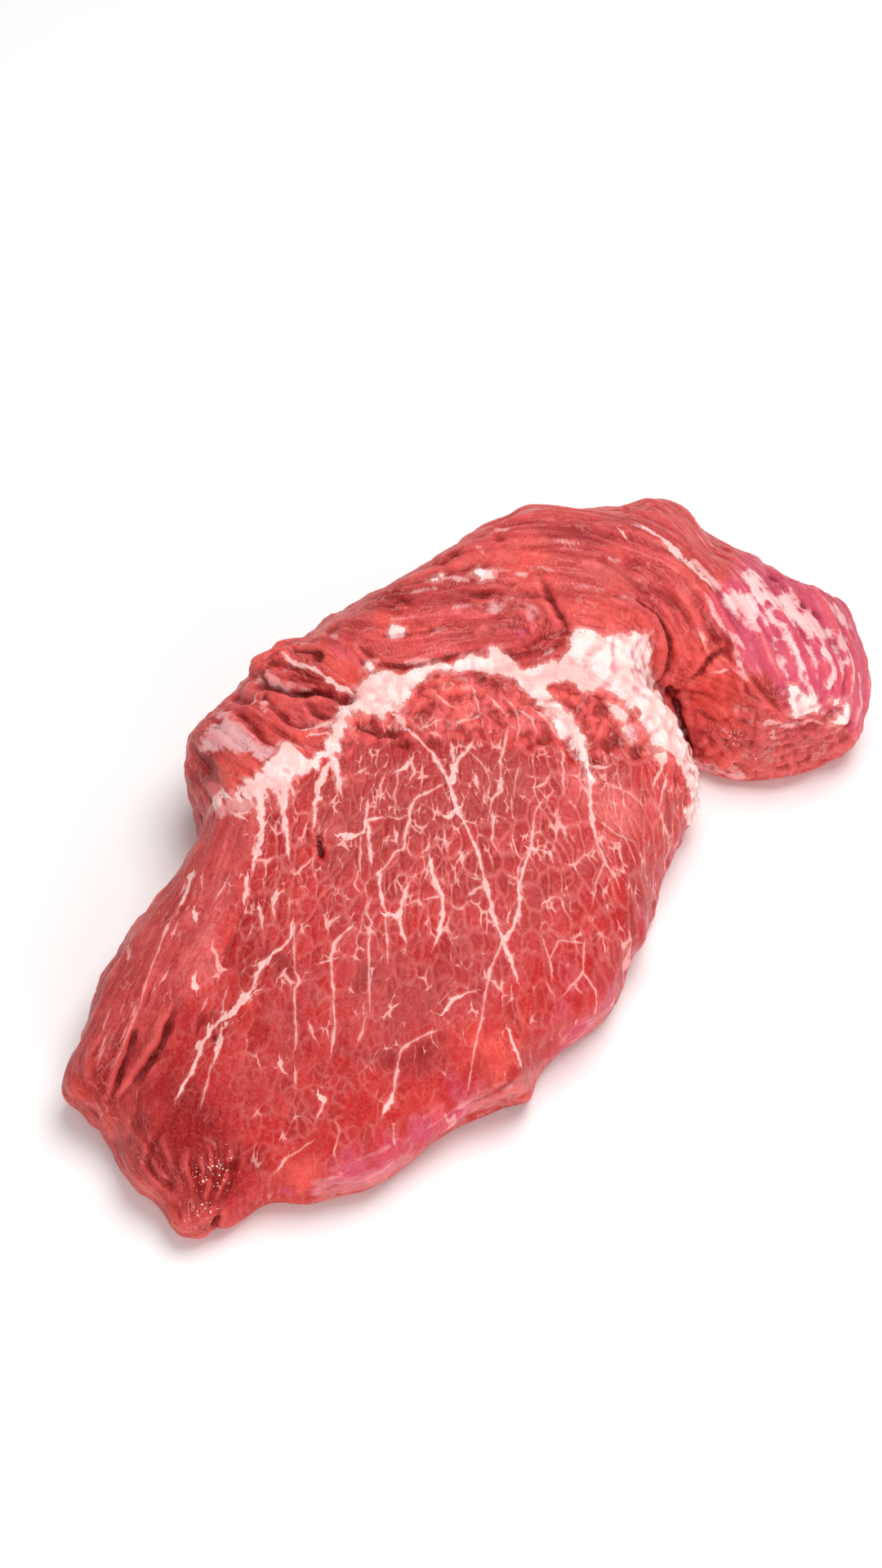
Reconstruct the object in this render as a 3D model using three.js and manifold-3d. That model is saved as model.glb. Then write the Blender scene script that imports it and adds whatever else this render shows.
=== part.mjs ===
// A raw, boneless block of beef lying on a flat surface with its cut face up. Units are millimetres and +Z is
// up. The origin is under the middle of the block, on the plane that it rests on. +X runs along the block, from
// its thin end to the rolled lobe, and -Y is the side with the cut face.
//
// The block is one piece, so it is one solid. Its surface is where a field is zero. The field comes from an
// outline in plan, which also gives the rim, from the heights of the cut face and of the muscle behind it, and
// from ridges and folds that follow curves. A surface-nets loop turns the field into a closed mesh, and a
// boolean cut then gives it the flat underside.

import * as THREE from 'three';
import { mergeVertices } from 'three/addons/utils/BufferGeometryUtils.js';
import Module from 'manifold-3d';

const LENGTH = 335;
const WIDTH = 178;
const TALLEST = 90; // above this there is no meat
const THINNEST = 12; // no fold goes deeper than this over the resting plane
const UNDERCUT = 16; // how far the side tucks in under its widest line
const BELOW = 7; // how far the rounded underside would reach below the resting plane, which cuts it flat
const CELL = 5; // side of a grid cell, which is also about the length of a triangle's edge
const NEAR_FLAT = 0.1; // triangles are joined where the surface moves by less than this
const SKIN = { color: '#b8484a', roughness: 0.45, metalness: 0 };

// The widest line round the block, seen from above, anticlockwise from the tip of the thin end. Each point is
// x, y, the height of the widest place there, and how far in from it the top is still rounded.
const OUTLINE = {
  tip: [[-168, -33, 15, 20], [-159, -41, 14, 20], [-150, -44, 14, 18]],
  frontRim: [
    [-138, -50, 15, 20], [-128, -61, 15, 22], [-106, -72, 17, 24], [-84, -75, 18, 24], [-68, -81, 18, 24],
    [-58, -88, 16, 18], [-47, -86, 18, 22], [-29, -89, 20, 26], [-3, -87, 20, 28], [23, -78, 20, 28],
    [65, -63, 18, 24], [79, -55, 14, 20],
  ],
  notch: [[88, -47, 8, 16], [94, -44, 6, 14], [96, -57, 10, 13]],
  lobe: [[106, -70, 12, 13], [119, -79, 13, 14], [131, -86, 15, 16], [146, -82, 20, 24], [157, -69, 24, 32]],
  end: [[167, -51, 26, 34], [164, -27, 27, 34], [159, 3, 28, 32], [150, 27, 26, 30]],
  back: [[125, 48, 26, 32], [89, 64, 25, 32], [52, 78, 24, 32], [19, 87, 24, 28]],
  shoulder: [[-1, 89, 24, 20], [-29, 86, 20, 26], [-43, 79, 20, 26], [-51, 66, 20, 24], [-59, 60, 20, 22]],
  side: [
    [-80, 55, 20, 26], [-109, 51, 20, 26], [-136, 41, 18, 24], [-153, 34, 15, 20], [-159, 21, 14, 20],
    [-163, 3, 14, 20],
  ],
};

// The cut face is close to a plane: its height over the origin, and its slopes along X and Y.
const FACE = { height: 58, alongX: 0.13, alongY: 0.15, crown: 5, crownAt: [-35, -23], crownReach: 110 };

// The muscle behind the face is a roll along a curve. Each point is x, y, height of the roll and its half-width.
const ROLL = [
  [-35, 63, 44, 34], [-5, 61, 60, 38], [31, 49, 75, 42], [69, 33, 83, 44], [99, 9, 83, 46],
  [121, -17, 70, 44], [135, -47, 52, 40],
];
const ROLL_FALL = 26; // how much lower the roll is at its half-width
const BLEND = 7; // the two heights melt into each other over about this much

// Ridges (rise above 0) and folds (below 0): how high or deep, how wide to each side, and the line in plan.
const RELIEF = {
  fatSeam: {
    rise: 5, reach: 7,
    along: [
      [-45, 53], [-29, 45], [-13, 35], [1, 37], [13, 32], [27, 25], [39, 15], [47, 0], [55, -12], [65, -23],
    ],
  },
  fatLump: { rise: 12, reach: 12, along: [[67, -8], [79, -17], [81, -27]] },
  fatRim: { rise: 5, reach: 7, along: [[79, -31], [79, -43], [73, -55], [65, -63]] },
  stepUnderSeam: {
    rise: -3, reach: 8, along: [[3, 24], [17, 17], [33, 3], [41, -11], [53, -27], [61, -41]],
  },
  foldBesideLobe: { rise: -36, reach: 9, along: [[85, -30], [89, -36], [92, -45], [94, -55]] },
  foldRoundLump: { rise: -9, reach: 7, along: [[107, -1], [104, -17], [97, -28], [89, -33]] },
  foldOverLobe: { rise: -7, reach: 7, along: [[92, -35], [101, -37], [111, -41]] },
  foldDownThinEnd: { rise: -5, reach: 6, along: [[-74, 20], [-89, 13], [-107, 5], [-120, 1]] },
  longSideFold: { rise: -7, reach: 6, along: [[-117, 12], [-126, 9], [-136, 7], [-147, 7], [-157, 6]] },
  shortSideFold: { rise: -6, reach: 6, along: [[-129, 20], [-141, 16], [-150, 14], [-159, 13]] },
  tipHollow: { rise: -9, reach: 9, along: [[-162, -30], [-155, -33], [-148, -37]] },
};

const wasm = await Module();
wasm.setup();

// Samples of a smooth curve through points of two to four values: x, y, and two sizes that change along it.
function curveThrough(points, closed) {
  const samples = 6 * points.length;
  const plan = new THREE.CatmullRomCurve3(
    points.map(([x, y]) => new THREE.Vector3(x, y, 0)), closed, 'centripetal');
  const rest = new THREE.CatmullRomCurve3(
    points.map(([, , a = 0, b = 0]) => new THREE.Vector3(a, b, 0)), closed, 'catmullrom');
  const count = closed ? samples : samples + 1;
  return Array.from({ length: count }, (_, i) => {
    const t = i / samples;
    const p = plan.getPoint(t);
    const q = rest.getPoint(t);
    return [p.x, p.y, q.x, q.y];
  });
}

// The nearest place on a sampled curve: its distance, and the curve's two sizes there.
function nearest(samples, closed, x, y) {
  const best = { distance: Infinity, first: 0, second: 0 };
  const segments = closed ? samples.length : samples.length - 1;
  for (let i = 0; i < segments; i++) {
    const p = samples[i];
    const q = samples[(i + 1) % samples.length];
    const dx = q[0] - p[0];
    const dy = q[1] - p[1];
    const t = THREE.MathUtils.clamp(((x - p[0]) * dx + (y - p[1]) * dy) / (dx * dx + dy * dy), 0, 1);
    const distance = Math.hypot(x - p[0] - t * dx, y - p[1] - t * dy);
    if (distance < best.distance) {
      best.distance = distance;
      best.first = p[2] + t * (q[2] - p[2]);
      best.second = p[3] + t * (q[3] - p[3]);
    }
  }
  return best;
}

// Whether a place in plan is inside a closed curve: a line from it to the right then crosses the curve an odd
// number of times.
function isInside(samples, x, y) {
  let inside = false;
  for (let i = 0, j = samples.length - 1; i < samples.length; j = i++) {
    const [xi, yi] = samples[i];
    const [xj, yj] = samples[j];
    if (yi > y !== yj > y && x < ((xj - xi) * (y - yi)) / (yj - yi) + xi) inside = !inside;
  }
  return inside;
}

const outline = curveThrough(Object.values(OUTLINE).flat(), true);
const roll = curveThrough(ROLL, false);
const relief = Object.values(RELIEF).map((form) => ({ ...form, samples: curveThrough(form.along, false) }));

// The higher of two heights, rounded where they meet.
function smoothMax(a, b, width) {
  const h = Math.max(width - Math.abs(a - b), 0) / width;
  return Math.max(a, b) + (h * h * width) / 4;
}

function faceHeight(x, y) {
  const off = Math.hypot(x - FACE.crownAt[0], y - FACE.crownAt[1]) / FACE.crownReach;
  return FACE.height + FACE.alongX * x + FACE.alongY * y - FACE.crown * off * off;
}

function rollHeight(x, y) {
  const near = nearest(roll, false, x, y);
  const off = near.distance / near.second;
  return near.first - ROLL_FALL * off * off;
}

function topHeight(x, y) {
  let height = smoothMax(faceHeight(x, y), rollHeight(x, y), BLEND);
  for (const form of relief) {
    const off = nearest(form.samples, false, x, y).distance / form.reach;
    height += form.rise * Math.exp(-off * off);
  }
  return Math.max(height, THINNEST);
}

// Above 0 outside the meat and below 0 inside it. Over the widest line the sides are quarter ellipses up to the
// top, and under it they are short quarter ellipses that tuck in towards the resting plane.
function field(x, y, z) {
  const edge = nearest(outline, true, x, y);
  const widestAt = edge.first;
  const rounding = edge.second;
  const inward = isInside(outline, x, y) ? edge.distance : -edge.distance;
  if (z >= widestAt) {
    const rise = Math.max(topHeight(x, y) - widestAt, THINNEST / 3);
    const across = Math.max(rounding - inward, 0) / rounding;
    return (Math.hypot(across, (z - widestAt) / rise) - 1) * Math.min(rounding, rise);
  }
  const across = Math.max(UNDERCUT - inward, 0) / UNDERCUT;
  const down = (widestAt - z) / (widestAt + BELOW);
  return (Math.hypot(across, down) - 1) * UNDERCUT;
}

// Surface nets: each grid cell that the surface crosses gets one vertex, and each grid edge that it crosses
// gets a quad of the four cells round it.
function surfaceNet(low, high, cell) {
  const n = low.map((v, k) => Math.ceil((high[k] - v) / cell) + 1);
  const id = (i, j, k) => (k * n[1] + j) * n[0] + i;
  const values = new Float64Array(n[0] * n[1] * n[2]);
  for (let k = 0; k < n[2]; k++)
    for (let j = 0; j < n[1]; j++)
      for (let i = 0; i < n[0]; i++)
        values[id(i, j, k)] = field(low[0] + i * cell, low[1] + j * cell, low[2] + k * cell);
  const vertexOf = new Map();
  const positions = [];
  const corners = [];
  for (let c = 0; c < 8; c++) corners.push([c & 1, (c >> 1) & 1, (c >> 2) & 1]);
  for (let k = 0; k < n[2] - 1; k++)
    for (let j = 0; j < n[1] - 1; j++)
      for (let i = 0; i < n[0] - 1; i++) {
        const sum = [0, 0, 0];
        let crossings = 0;
        for (let a = 0; a < 8; a++)
          for (let axis = 0; axis < 3; axis++) {
            const b = a | (1 << axis);
            if (b === a) continue;
            const va = values[id(i + corners[a][0], j + corners[a][1], k + corners[a][2])];
            const vb = values[id(i + corners[b][0], j + corners[b][1], k + corners[b][2])];
            if (va < 0 === vb < 0) continue;
            const t = va / (va - vb);
            for (let m = 0; m < 3; m++) sum[m] += corners[a][m] + t * (corners[b][m] - corners[a][m]);
            crossings++;
          }
        if (!crossings) continue;
        vertexOf.set(id(i, j, k), positions.length / 3);
        [i, j, k].forEach((base, m) => positions.push(low[m] + (base + sum[m] / crossings) * cell));
      }
  const index = [];
  const step = [[1, 0, 0], [0, 1, 0], [0, 0, 1]];
  for (let k = 1; k < n[2] - 1; k++)
    for (let j = 1; j < n[1] - 1; j++)
      for (let i = 1; i < n[0] - 1; i++)
        for (let axis = 0; axis < 3; axis++) {
          const s = step[axis];
          const here = values[id(i, j, k)];
          const next = values[id(i + s[0], j + s[1], k + s[2])];
          if (here < 0 === next < 0) continue;
          const u = step[(axis + 1) % 3];
          const v = step[(axis + 2) % 3];
          const cellBack = (p, q) =>
            vertexOf.get(id(...[i, j, k].map((place, m) => place - p * u[m] - q * v[m])));
          const quad = [cellBack(1, 1), cellBack(0, 1), cellBack(0, 0), cellBack(1, 0)];
          if (here >= 0) quad.reverse();
          index.push(quad[0], quad[1], quad[2], quad[0], quad[2], quad[3]);
        }
  return { positions, index };
}

function solidFrom(positions, index) {
  return new wasm.Manifold(new wasm.Mesh({
    numProp: 3, vertProperties: new Float32Array(positions), triVerts: new Uint32Array(index),
  }));
}

// A box under the resting plane, larger than the block all round.
function groundSolid() {
  const box = new THREE.BoxGeometry(2 * LENGTH, 2 * WIDTH, TALLEST).translate(0, 0, -TALLEST / 2);
  box.deleteAttribute('normal');
  box.deleteAttribute('uv');
  const merged = mergeVertices(box);
  return solidFrom(merged.attributes.position.array, merged.index.array);
}

function blockGeometry() {
  const margin = 2.3 * CELL;
  const low = [-LENGTH / 2 - margin, -WIDTH / 2 - margin, -BELOW - margin];
  const high = [LENGTH / 2 + margin, WIDTH / 2 + margin, TALLEST + margin];
  const net = surfaceNet(low, high, CELL);
  const cut = solidFrom(net.positions, net.index).subtract(groundSolid()).simplify(NEAR_FLAT).getMesh();
  const geometry = new THREE.BufferGeometry();
  geometry.setAttribute('position', new THREE.BufferAttribute(Float32Array.from(cut.vertProperties), 3));
  geometry.setIndex(new THREE.BufferAttribute(Uint32Array.from(cut.triVerts), 1));
  geometry.computeBoundingBox();
  const middle = geometry.boundingBox.getCenter(new THREE.Vector3());
  geometry.translate(-middle.x, -middle.y, 0);
  geometry.computeVertexNormals();
  return geometry;
}

const beef = new THREE.Group();
const block = new THREE.Mesh(blockGeometry(), new THREE.MeshStandardMaterial(SKIN));
block.name = 'beef_roast';
beef.add(block);

export default beef;
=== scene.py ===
# %% [markdown]
# # A boneless beef roast, raw
# A large trimmed piece of beef lies on its flat side. Its top shows four kinds of surface: the cut
# face with its net of fine white fat, the long muscle behind it with folds and streaks, the thick
# seam of white fat between the two, and a rounded end under a thin pink skin. The CAD solid gives
# the size and the main form. This script makes the surface, and each cell does one step of it.

# %% Load the frame
import math
from itertools import product

import bmesh
import bpy
import numpy as np
from mathutils import Matrix, Vector
from mathutils.bvhtree import BVHTree
from mathutils.kdtree import KDTree


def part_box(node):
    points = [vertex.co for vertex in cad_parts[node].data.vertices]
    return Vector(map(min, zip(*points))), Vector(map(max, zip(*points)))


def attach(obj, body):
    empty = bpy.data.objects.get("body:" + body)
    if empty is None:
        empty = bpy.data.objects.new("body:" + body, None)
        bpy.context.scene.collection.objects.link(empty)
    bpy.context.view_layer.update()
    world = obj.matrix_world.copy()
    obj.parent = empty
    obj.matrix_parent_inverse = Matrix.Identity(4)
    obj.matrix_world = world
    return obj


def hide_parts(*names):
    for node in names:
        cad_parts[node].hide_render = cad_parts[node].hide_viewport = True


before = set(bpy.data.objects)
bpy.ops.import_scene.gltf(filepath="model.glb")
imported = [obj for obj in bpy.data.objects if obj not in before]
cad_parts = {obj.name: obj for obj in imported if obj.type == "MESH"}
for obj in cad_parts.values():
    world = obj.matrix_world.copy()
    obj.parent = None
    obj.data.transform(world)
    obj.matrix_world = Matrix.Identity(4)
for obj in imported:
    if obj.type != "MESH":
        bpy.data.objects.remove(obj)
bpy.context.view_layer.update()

MM = 0.001
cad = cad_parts["beef_roast"]
lowest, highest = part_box("beef_roast")
print("the solid measures", [round((high - low) / MM, 1) for low, high in zip(lowest, highest)], "mm")

# %% [markdown]
# ## The camera
# The photograph looks down on the meat from over its long front side, with a long lens. The camera
# comes first, because every fold and vein below is placed by the pixel where the photograph shows
# it. A pixel becomes a ray from the camera, and the ray's first touch is the place on the meat.

# %% Camera
PHOTO_WIDE, PHOTO_TALL = 1080, 1920
AZIMUTH, ELEVATION = math.radians(-50), math.radians(55)
DISTANCE = 1237 * MM
LENS, SENSOR = 80, 36
LOOKS_AT = Vector((20.7, 13.75, 20)) * MM

away = Vector((math.sin(AZIMUTH) * math.cos(ELEVATION),
               -math.cos(AZIMUTH) * math.cos(ELEVATION), math.sin(ELEVATION)))
rightward = Vector((math.cos(AZIMUTH), math.sin(AZIMUTH), 0))
upward = away.cross(rightward)
eye = LOOKS_AT + away * DISTANCE
focal_pixels = LENS / SENSOR * PHOTO_TALL

camera_data = bpy.data.cameras.new("camera")
camera_data.lens, camera_data.sensor_width = LENS, SENSOR
camera = bpy.data.objects.new("camera", camera_data)
turn = Matrix((rightward, upward, away)).transposed().to_4x4()
camera.matrix_world = Matrix.Translation(eye) @ turn
bpy.context.collection.objects.link(camera)
bpy.context.scene.camera = camera


def pixel_ray(across, down):
    """The direction in which the camera sees a pixel of the photograph."""
    x, y = (across - PHOTO_WIDE / 2) / focal_pixels, (PHOTO_TALL / 2 - down) / focal_pixels
    return (rightward * x + upward * y - away).normalized()


def pixels_of(points):
    """Where the photograph shows points given in millimetres."""
    seen = points * MM - np.array(eye)
    depth = -(seen @ np.array(away))
    return np.stack([PHOTO_WIDE / 2 + focal_pixels * (seen @ np.array(rightward)) / depth,
                     PHOTO_TALL / 2 - focal_pixels * (seen @ np.array(upward)) / depth], axis=1)


# %% [markdown]
# ## A fine skin over the solid
# The CAD solid has facets about 5 mm wide. Meat has none, and its finest folds are about 2 mm wide.
# A voxel remesh turns the solid into even squares of about 1 mm, and a smoothing modifier then
# melts the facets away. A subdivision surface would round the form too, but its squares would
# follow the facets and be uneven, and every fold after this step needs even ones.

# %% Remesh and smooth
GRID = 1.12
MELT_STEPS = 42

roast = bpy.data.objects.new("raw_beef_roast", cad.data.copy())
bpy.context.collection.objects.link(roast)
remesh = roast.modifiers.new("even squares", "REMESH")
remesh.mode, remesh.voxel_size = "VOXEL", GRID * MM
melt = roast.modifiers.new("melt the facets", "SMOOTH")
melt.factor, melt.iterations = 0.5, MELT_STEPS
evaluated = roast.evaluated_get(bpy.context.evaluated_depsgraph_get())
skin_mesh = bpy.data.meshes.new_from_object(evaluated)
roast.modifiers.clear()
roast.data = skin_mesh

count = len(skin_mesh.vertices)
rest = np.empty(count * 3)
skin_mesh.vertices.foreach_get("co", rest)
rest = rest.reshape(-1, 3) / MM
edges = np.empty(len(skin_mesh.edges) * 2, dtype=int)
skin_mesh.edges.foreach_get("vertices", edges)
edges = edges.reshape(-1, 2)
print(count, "points in the skin,", len(skin_mesh.polygons), "faces")

# %% [markdown]
# The smoothing lifts the rim of the flat underside a little. The next cell presses everything that
# is almost on the floor back onto it, so that the roast rests flat as its solid does.

# %% Press the underside flat
PRESS, PRESS_REACH = 0.45, 6.0


def ease(low, high, value):
    """0 below low, 1 above high, and a smooth rise between them."""
    share = np.clip((value - low) / (high - low), 0, 1)
    return share * share * (3 - 2 * share)


rest[:, 2] = np.maximum(rest[:, 2] - PRESS * (1 - ease(0, PRESS_REACH, rest[:, 2])), 0)
skin_z = rest[:, 2].copy()
skin_mesh.vertices.foreach_set("co", (rest * MM).ravel())
skin_mesh.update()
normals = np.empty(count * 3)
skin_mesh.vertices.foreach_get("normal", normals)
normals = normals.reshape(-1, 3)
seen_at = pixels_of(rest)
to_eye = np.array(eye) / MM - rest
facing = (normals * to_eye).sum(1) / np.linalg.norm(to_eye, axis=1)
print("the skin stands", round(rest[:, 2].max(), 1), "mm tall")

# %% [markdown]
# The photograph's outline has corners and dents that the solid leaves out: a curled flap on the
# left, a blunt corner at the top, an ear on the front rim. Each one is a push of the skin by a few
# pixels in the picture's own plane, which fades out over some millimetres.

# %% Push the outline
PIXEL = 0.29
PUSH_DEPTH = 22.0
PUSHES = ("238,888,9,-8,-5 229,914,8,-8,0 237,1003,8,8,1 295,847,4.5,7,10 309,830,3.5,11,9 "
          "312,804,4,-6,-2 "
          "345,786,4,-1,-4 376,774,8,3,5 568,660,9,-3,-7 612,640,12,-4,-10 655,627,12,-1,-10 "
          "800,613,8,0,-11 824,616,7,4,-13 842,634,6,5,-5 878,664,8,-4,9 1018,737,8,2,-6 1036,757,8,8,-4 "
          "1053,795,9,6,0 822,1050,7,-6,0 813,1064,8,-9,0 803,1088,8,-8,0 770,1178,8,-9,-3 "
          "703,1278,10,-7,-6 677,1296,10,-8,-9 616,1354,5,-3,-6 648,1340,4,3,7 412,1464,7,-2,-7 "
          "326,1471,8,0,-9 262,1505,4,0,-10 191,1475,8,6,-6 129,1409,8,6,-4 118,1386,9,9,-7 "
          "104,1368,7,5,-5 76,1335,7,-6,3 1013,929,6,-4,-5 121,1202,7,-4,-2 783,1150,5,4,0")
picture_right, picture_down = np.array(rightward), -np.array(upward)
for push in PUSHES.split():
    across_px, down_px, radius, right_px, drop_px = map(float, push.split(","))
    in_picture = np.linalg.norm(seen_at - (across_px, down_px), axis=1)
    touched = rest[np.argmin(in_picture - 6 * facing)]
    behind_it = (rest - touched) @ np.array(away) / PUSH_DEPTH
    strength = PIXEL * np.exp(-(in_picture * PIXEL / radius) ** 2 - behind_it ** 2)[:, None]
    rest += strength * (right_px * picture_right + drop_px * picture_down)
on_floor = skin_z < 0.02
rest[on_floor, 2] = 0
rest[:, 2] = np.maximum(rest[:, 2], 0)
skin_mesh.vertices.foreach_set("co", (rest * MM).ravel())
skin_mesh.update()
normals = np.empty(count * 3)
skin_mesh.vertices.foreach_get("normal", normals)
normals = normals.reshape(-1, 3)
free = ease(0.5, 6, rest[:, 2])
seen_at = pixels_of(rest)
to_eye = np.array(eye) / MM - rest
facing = (normals * to_eye).sum(1) / np.linalg.norm(to_eye, axis=1)
print(len(PUSHES.split()), "pushes")

# %% [markdown]
# ## Noise
# Meat has no straight line and no even patch, so each step below is roughened by a smooth noise.
# Blender's own noise is there in the shader and in textures, but reading it point by point is slow.
# This is the same kind of noise for a whole array of points: each corner of a grid gets a random
# slope, and a point blends the slopes of the eight corners round it.

# %% Noise
SLOPES = 256


def noise(points, size, seed):
    """Smooth noise from about -1 to 1, with lumps about size millimetres wide."""
    draw = np.random.default_rng(seed)
    slopes = draw.normal(size=(SLOPES, 3))
    slopes /= np.linalg.norm(slopes, axis=1)[:, None]
    shuffled = draw.permutation(SLOPES)
    place = points / size
    cell = np.floor(place).astype(int)
    inside = place - cell
    blend = inside * inside * inside * (inside * (inside * 6 - 15) + 10)
    total = np.zeros(len(points))
    for corner in product((0, 1), repeat=3):
        at = (cell + corner) % SLOPES
        key = shuffled[(shuffled[(shuffled[at[:, 0]] + at[:, 1]) % SLOPES] + at[:, 2]) % SLOPES]
        weight = np.where(corner, blend, 1 - blend).prod(1)
        total += weight * (slopes[key] * (inside - corner)).sum(1)
    return total * 1.6


def rough(points, size, seed, layers=3):
    """Noise with finer noise on top, each layer half as wide and half as strong."""
    return sum(noise(points, size / 2 ** layer, seed + layer) / 2 ** layer for layer in range(layers))


print("noise spreads", round(noise(rest, 10, 1).std(), 2))

# %% [markdown]
# ## Drawing on the meat
# Each fold, vein and patch is a short line of pixels, kept under its own name. `trace` drops a
# line onto the meat. `near` then measures how far each point of the skin is from it, on which side,
# and how far along. A patch is a closed outline, measured in the picture itself.

# %% Lines and patches
PATCH_REACH = 15.0
tree = BVHTree.FromPolygons([tuple(p) for p in rest],
                            [tuple(face.vertices) for face in skin_mesh.polygons])
middle = np.array([540.0, 1000.0])


def pixel_list(text):
    return np.array([[float(number) for number in pair.split(",")] for pair in text.split()])


def touch(pixel):
    """The place on the meat under a pixel; one just outside the outline moves inwards."""
    for step in range(30):
        ray = pixel_ray(*pixel)
        hit = tree.ray_cast(Vector(eye) / MM, ray)[0]
        if hit is not None:
            return np.array(hit)
        pixel = pixel + (middle - pixel) / np.linalg.norm(middle - pixel) * 1.5
    raise ValueError("no meat near pixel " + str(pixel))


def trace(text):
    return np.array([touch(pixel) for pixel in pixel_list(text)])


def near(path, reach):
    """Points within reach of a path: their indices, distances, sides and shares of its length."""
    low, high = path.min(0) - reach, path.max(0) + reach
    index = np.flatnonzero(((rest > low) & (rest < high)).all(1))
    points = rest[index]
    best = np.full(len(index), 1e9)
    side, share = np.zeros(len(index)), np.zeros(len(index))
    lengths = np.linalg.norm(np.diff(path, axis=0), axis=1)
    whole, done = lengths.sum(), 0.0
    for start, end, length in zip(path[:-1], path[1:], lengths):
        along = (end - start) / length
        offset = points - start
        travel = np.clip(offset @ along, 0, length)
        gap = offset - travel[:, None] * along
        distance = np.linalg.norm(gap, axis=1)
        closer = distance < best
        best[closer] = distance[closer]
        turned = np.cross(along, normals[index[closer]])
        side[closer] = np.where((gap[closer] * turned).sum(1) > 0, 1, -1)
        share[closer] = (done + travel[closer]) / whole
        done += length
    keep = best < reach
    return index[keep], best[keep], side[keep], share[keep]


def inside_of(text, behind=False):
    """Millimetres from a closed outline of pixels: above 0 inside it, below 0 outside."""
    outline = pixel_list(text)
    reach = PATCH_REACH / PIXEL
    at = np.flatnonzero(((seen_at > outline.min(0) - reach) & (seen_at < outline.max(0) + reach)).all(1))
    pixels = seen_at[at]
    best, within = np.full(len(at), 1e9), np.zeros(len(at), dtype=bool)
    for start, end in zip(outline, np.roll(outline, -1, axis=0)):
        line = end - start
        travel = np.clip(((pixels - start) @ line) / (line @ line), 0, 1)
        best = np.minimum(best, np.linalg.norm(pixels - start - travel[:, None] * line, axis=1))
        crosses = (start[1] > pixels[:, 1]) != (end[1] > pixels[:, 1])
        reach_x = start[0] + (pixels[:, 1] - start[1]) * line[0] / (line[1] if line[1] else 1e-9)
        within ^= crosses & (pixels[:, 0] < reach_x)
    signed = np.full(count, -PATCH_REACH)
    signed[at] = np.where(within, best, -best) * PIXEL
    return signed if behind else np.where(facing > -0.05, signed, -PATCH_REACH)


def patch(text, feather=1.5, behind=False):
    """1 inside a closed outline of pixels and 0 outside, over a soft edge in millimetres."""
    return ease(-feather, feather, inside_of(text, behind))


# %% [markdown]
# ## Which surface is where
# The cut face fills the front. Its outline is drawn past the edge of the meat on purpose, so that
# the face also runs down over the front rim. The seam of fat is two edges of one patch: the upper
# edge lies against the long muscle, and the lower edge ends in the torn meat above the face.

# %% Regions
CUT_FACE = ("330,985 350,975 365,950 400,930 420,935 440,900 520,905 600,895 700,905 790,915 830,940 "
            "880,1000 860,1150 800,1280 650,1420 450,1540 270,1560 262,1470 225,1430 185,1392 "
            "172,1352 197,1300 224,1235 252,1170 287,1090 314,1020")
LEFT_MUSCLE = ("262,985 300,975 330,975 314,1020 287,1090 252,1170 224,1235 197,1300 172,1352 "
               "185,1392 225,1430 262,1470 270,1560 150,1560 40,1420 40,1280 150,1080")
LOBE_SKIN = ("866,735 878,722 890,712 900,690 930,660 1000,660 1090,740 1100,860 1060,930 1042,900 "
             "1035,880 1012,874 990,876 968,880 960,862 952,838 938,822 920,826 906,815 900,800 "
             "905,790 893,778 878,760")
LOBE_END = ("832,890 850,872 900,858 925,862 950,880 1000,880 1040,880 1070,900 1060,1000 850,1000 "
            "838,930")
LOBE_MEAT = "800,845 820,790 850,770 880,770 900,800 915,830 950,880 900,862 850,876 836,905"
TORN_BAND = ("418,880 432,876 470,880 496,872 500,850 520,830 545,824 585,824 625,834 660,846 "
             "700,842 740,842 790,890 815,920 838,950 842,985 810,960 780,930 700,925 640,915 "
             "560,905 500,905 440,915 424,930")
SEAM_TOP = ("258,990 264,976 280,966 298,962 296,954 312,950 320,942 324,932 334,924 342,914 356,908 "
            "368,914 380,926 392,918 401,903 408,885 412,872 420,862 430,852 440,838 450,828 470,822 "
            "490,825 503,822 516,815 532,811 550,812 562,806 580,802 596,802 600,792 612,792 617,800 "
            "626,803 631,812 638,820 655,815 675,812 688,808 698,794 702,777 712,773 728,776 746,780 "
            "766,777 780,773 791,778 792,790 791,803 795,817 799,832 806,850 816,866 827,884 835,905 "
            "842,925 849,945 852,965 850,990 844,1012")
SEAM_FOOT = ("839,1006 843,985 842,965 838,950 830,935 822,922 812,915 800,910 793,898 788,884 "
             "779,872 768,866 758,857 746,848 733,841 722,846 712,845 704,838 690,836 678,836 "
             "668,838 662,844 650,845 640,838 630,834 620,831 610,825 597,825 583,823 568,819 "
             "553,820 543,824 532,824 520,828 513,838 503,847 495,858 497,868 488,874 478,872 "
             "468,878 454,876 440,873 431,873 426,880 424,892 419,902 417,917 414,931 417,946 "
             "420,962 415,966 409,952 404,937 399,929 389,939 375,943 366,952 362,966 355,978 "
             "349,988 344,986 338,976 331,974 326,988 321,1000 316,986 310,979 298,978 280,979 "
             "268,986 260,996")
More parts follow.
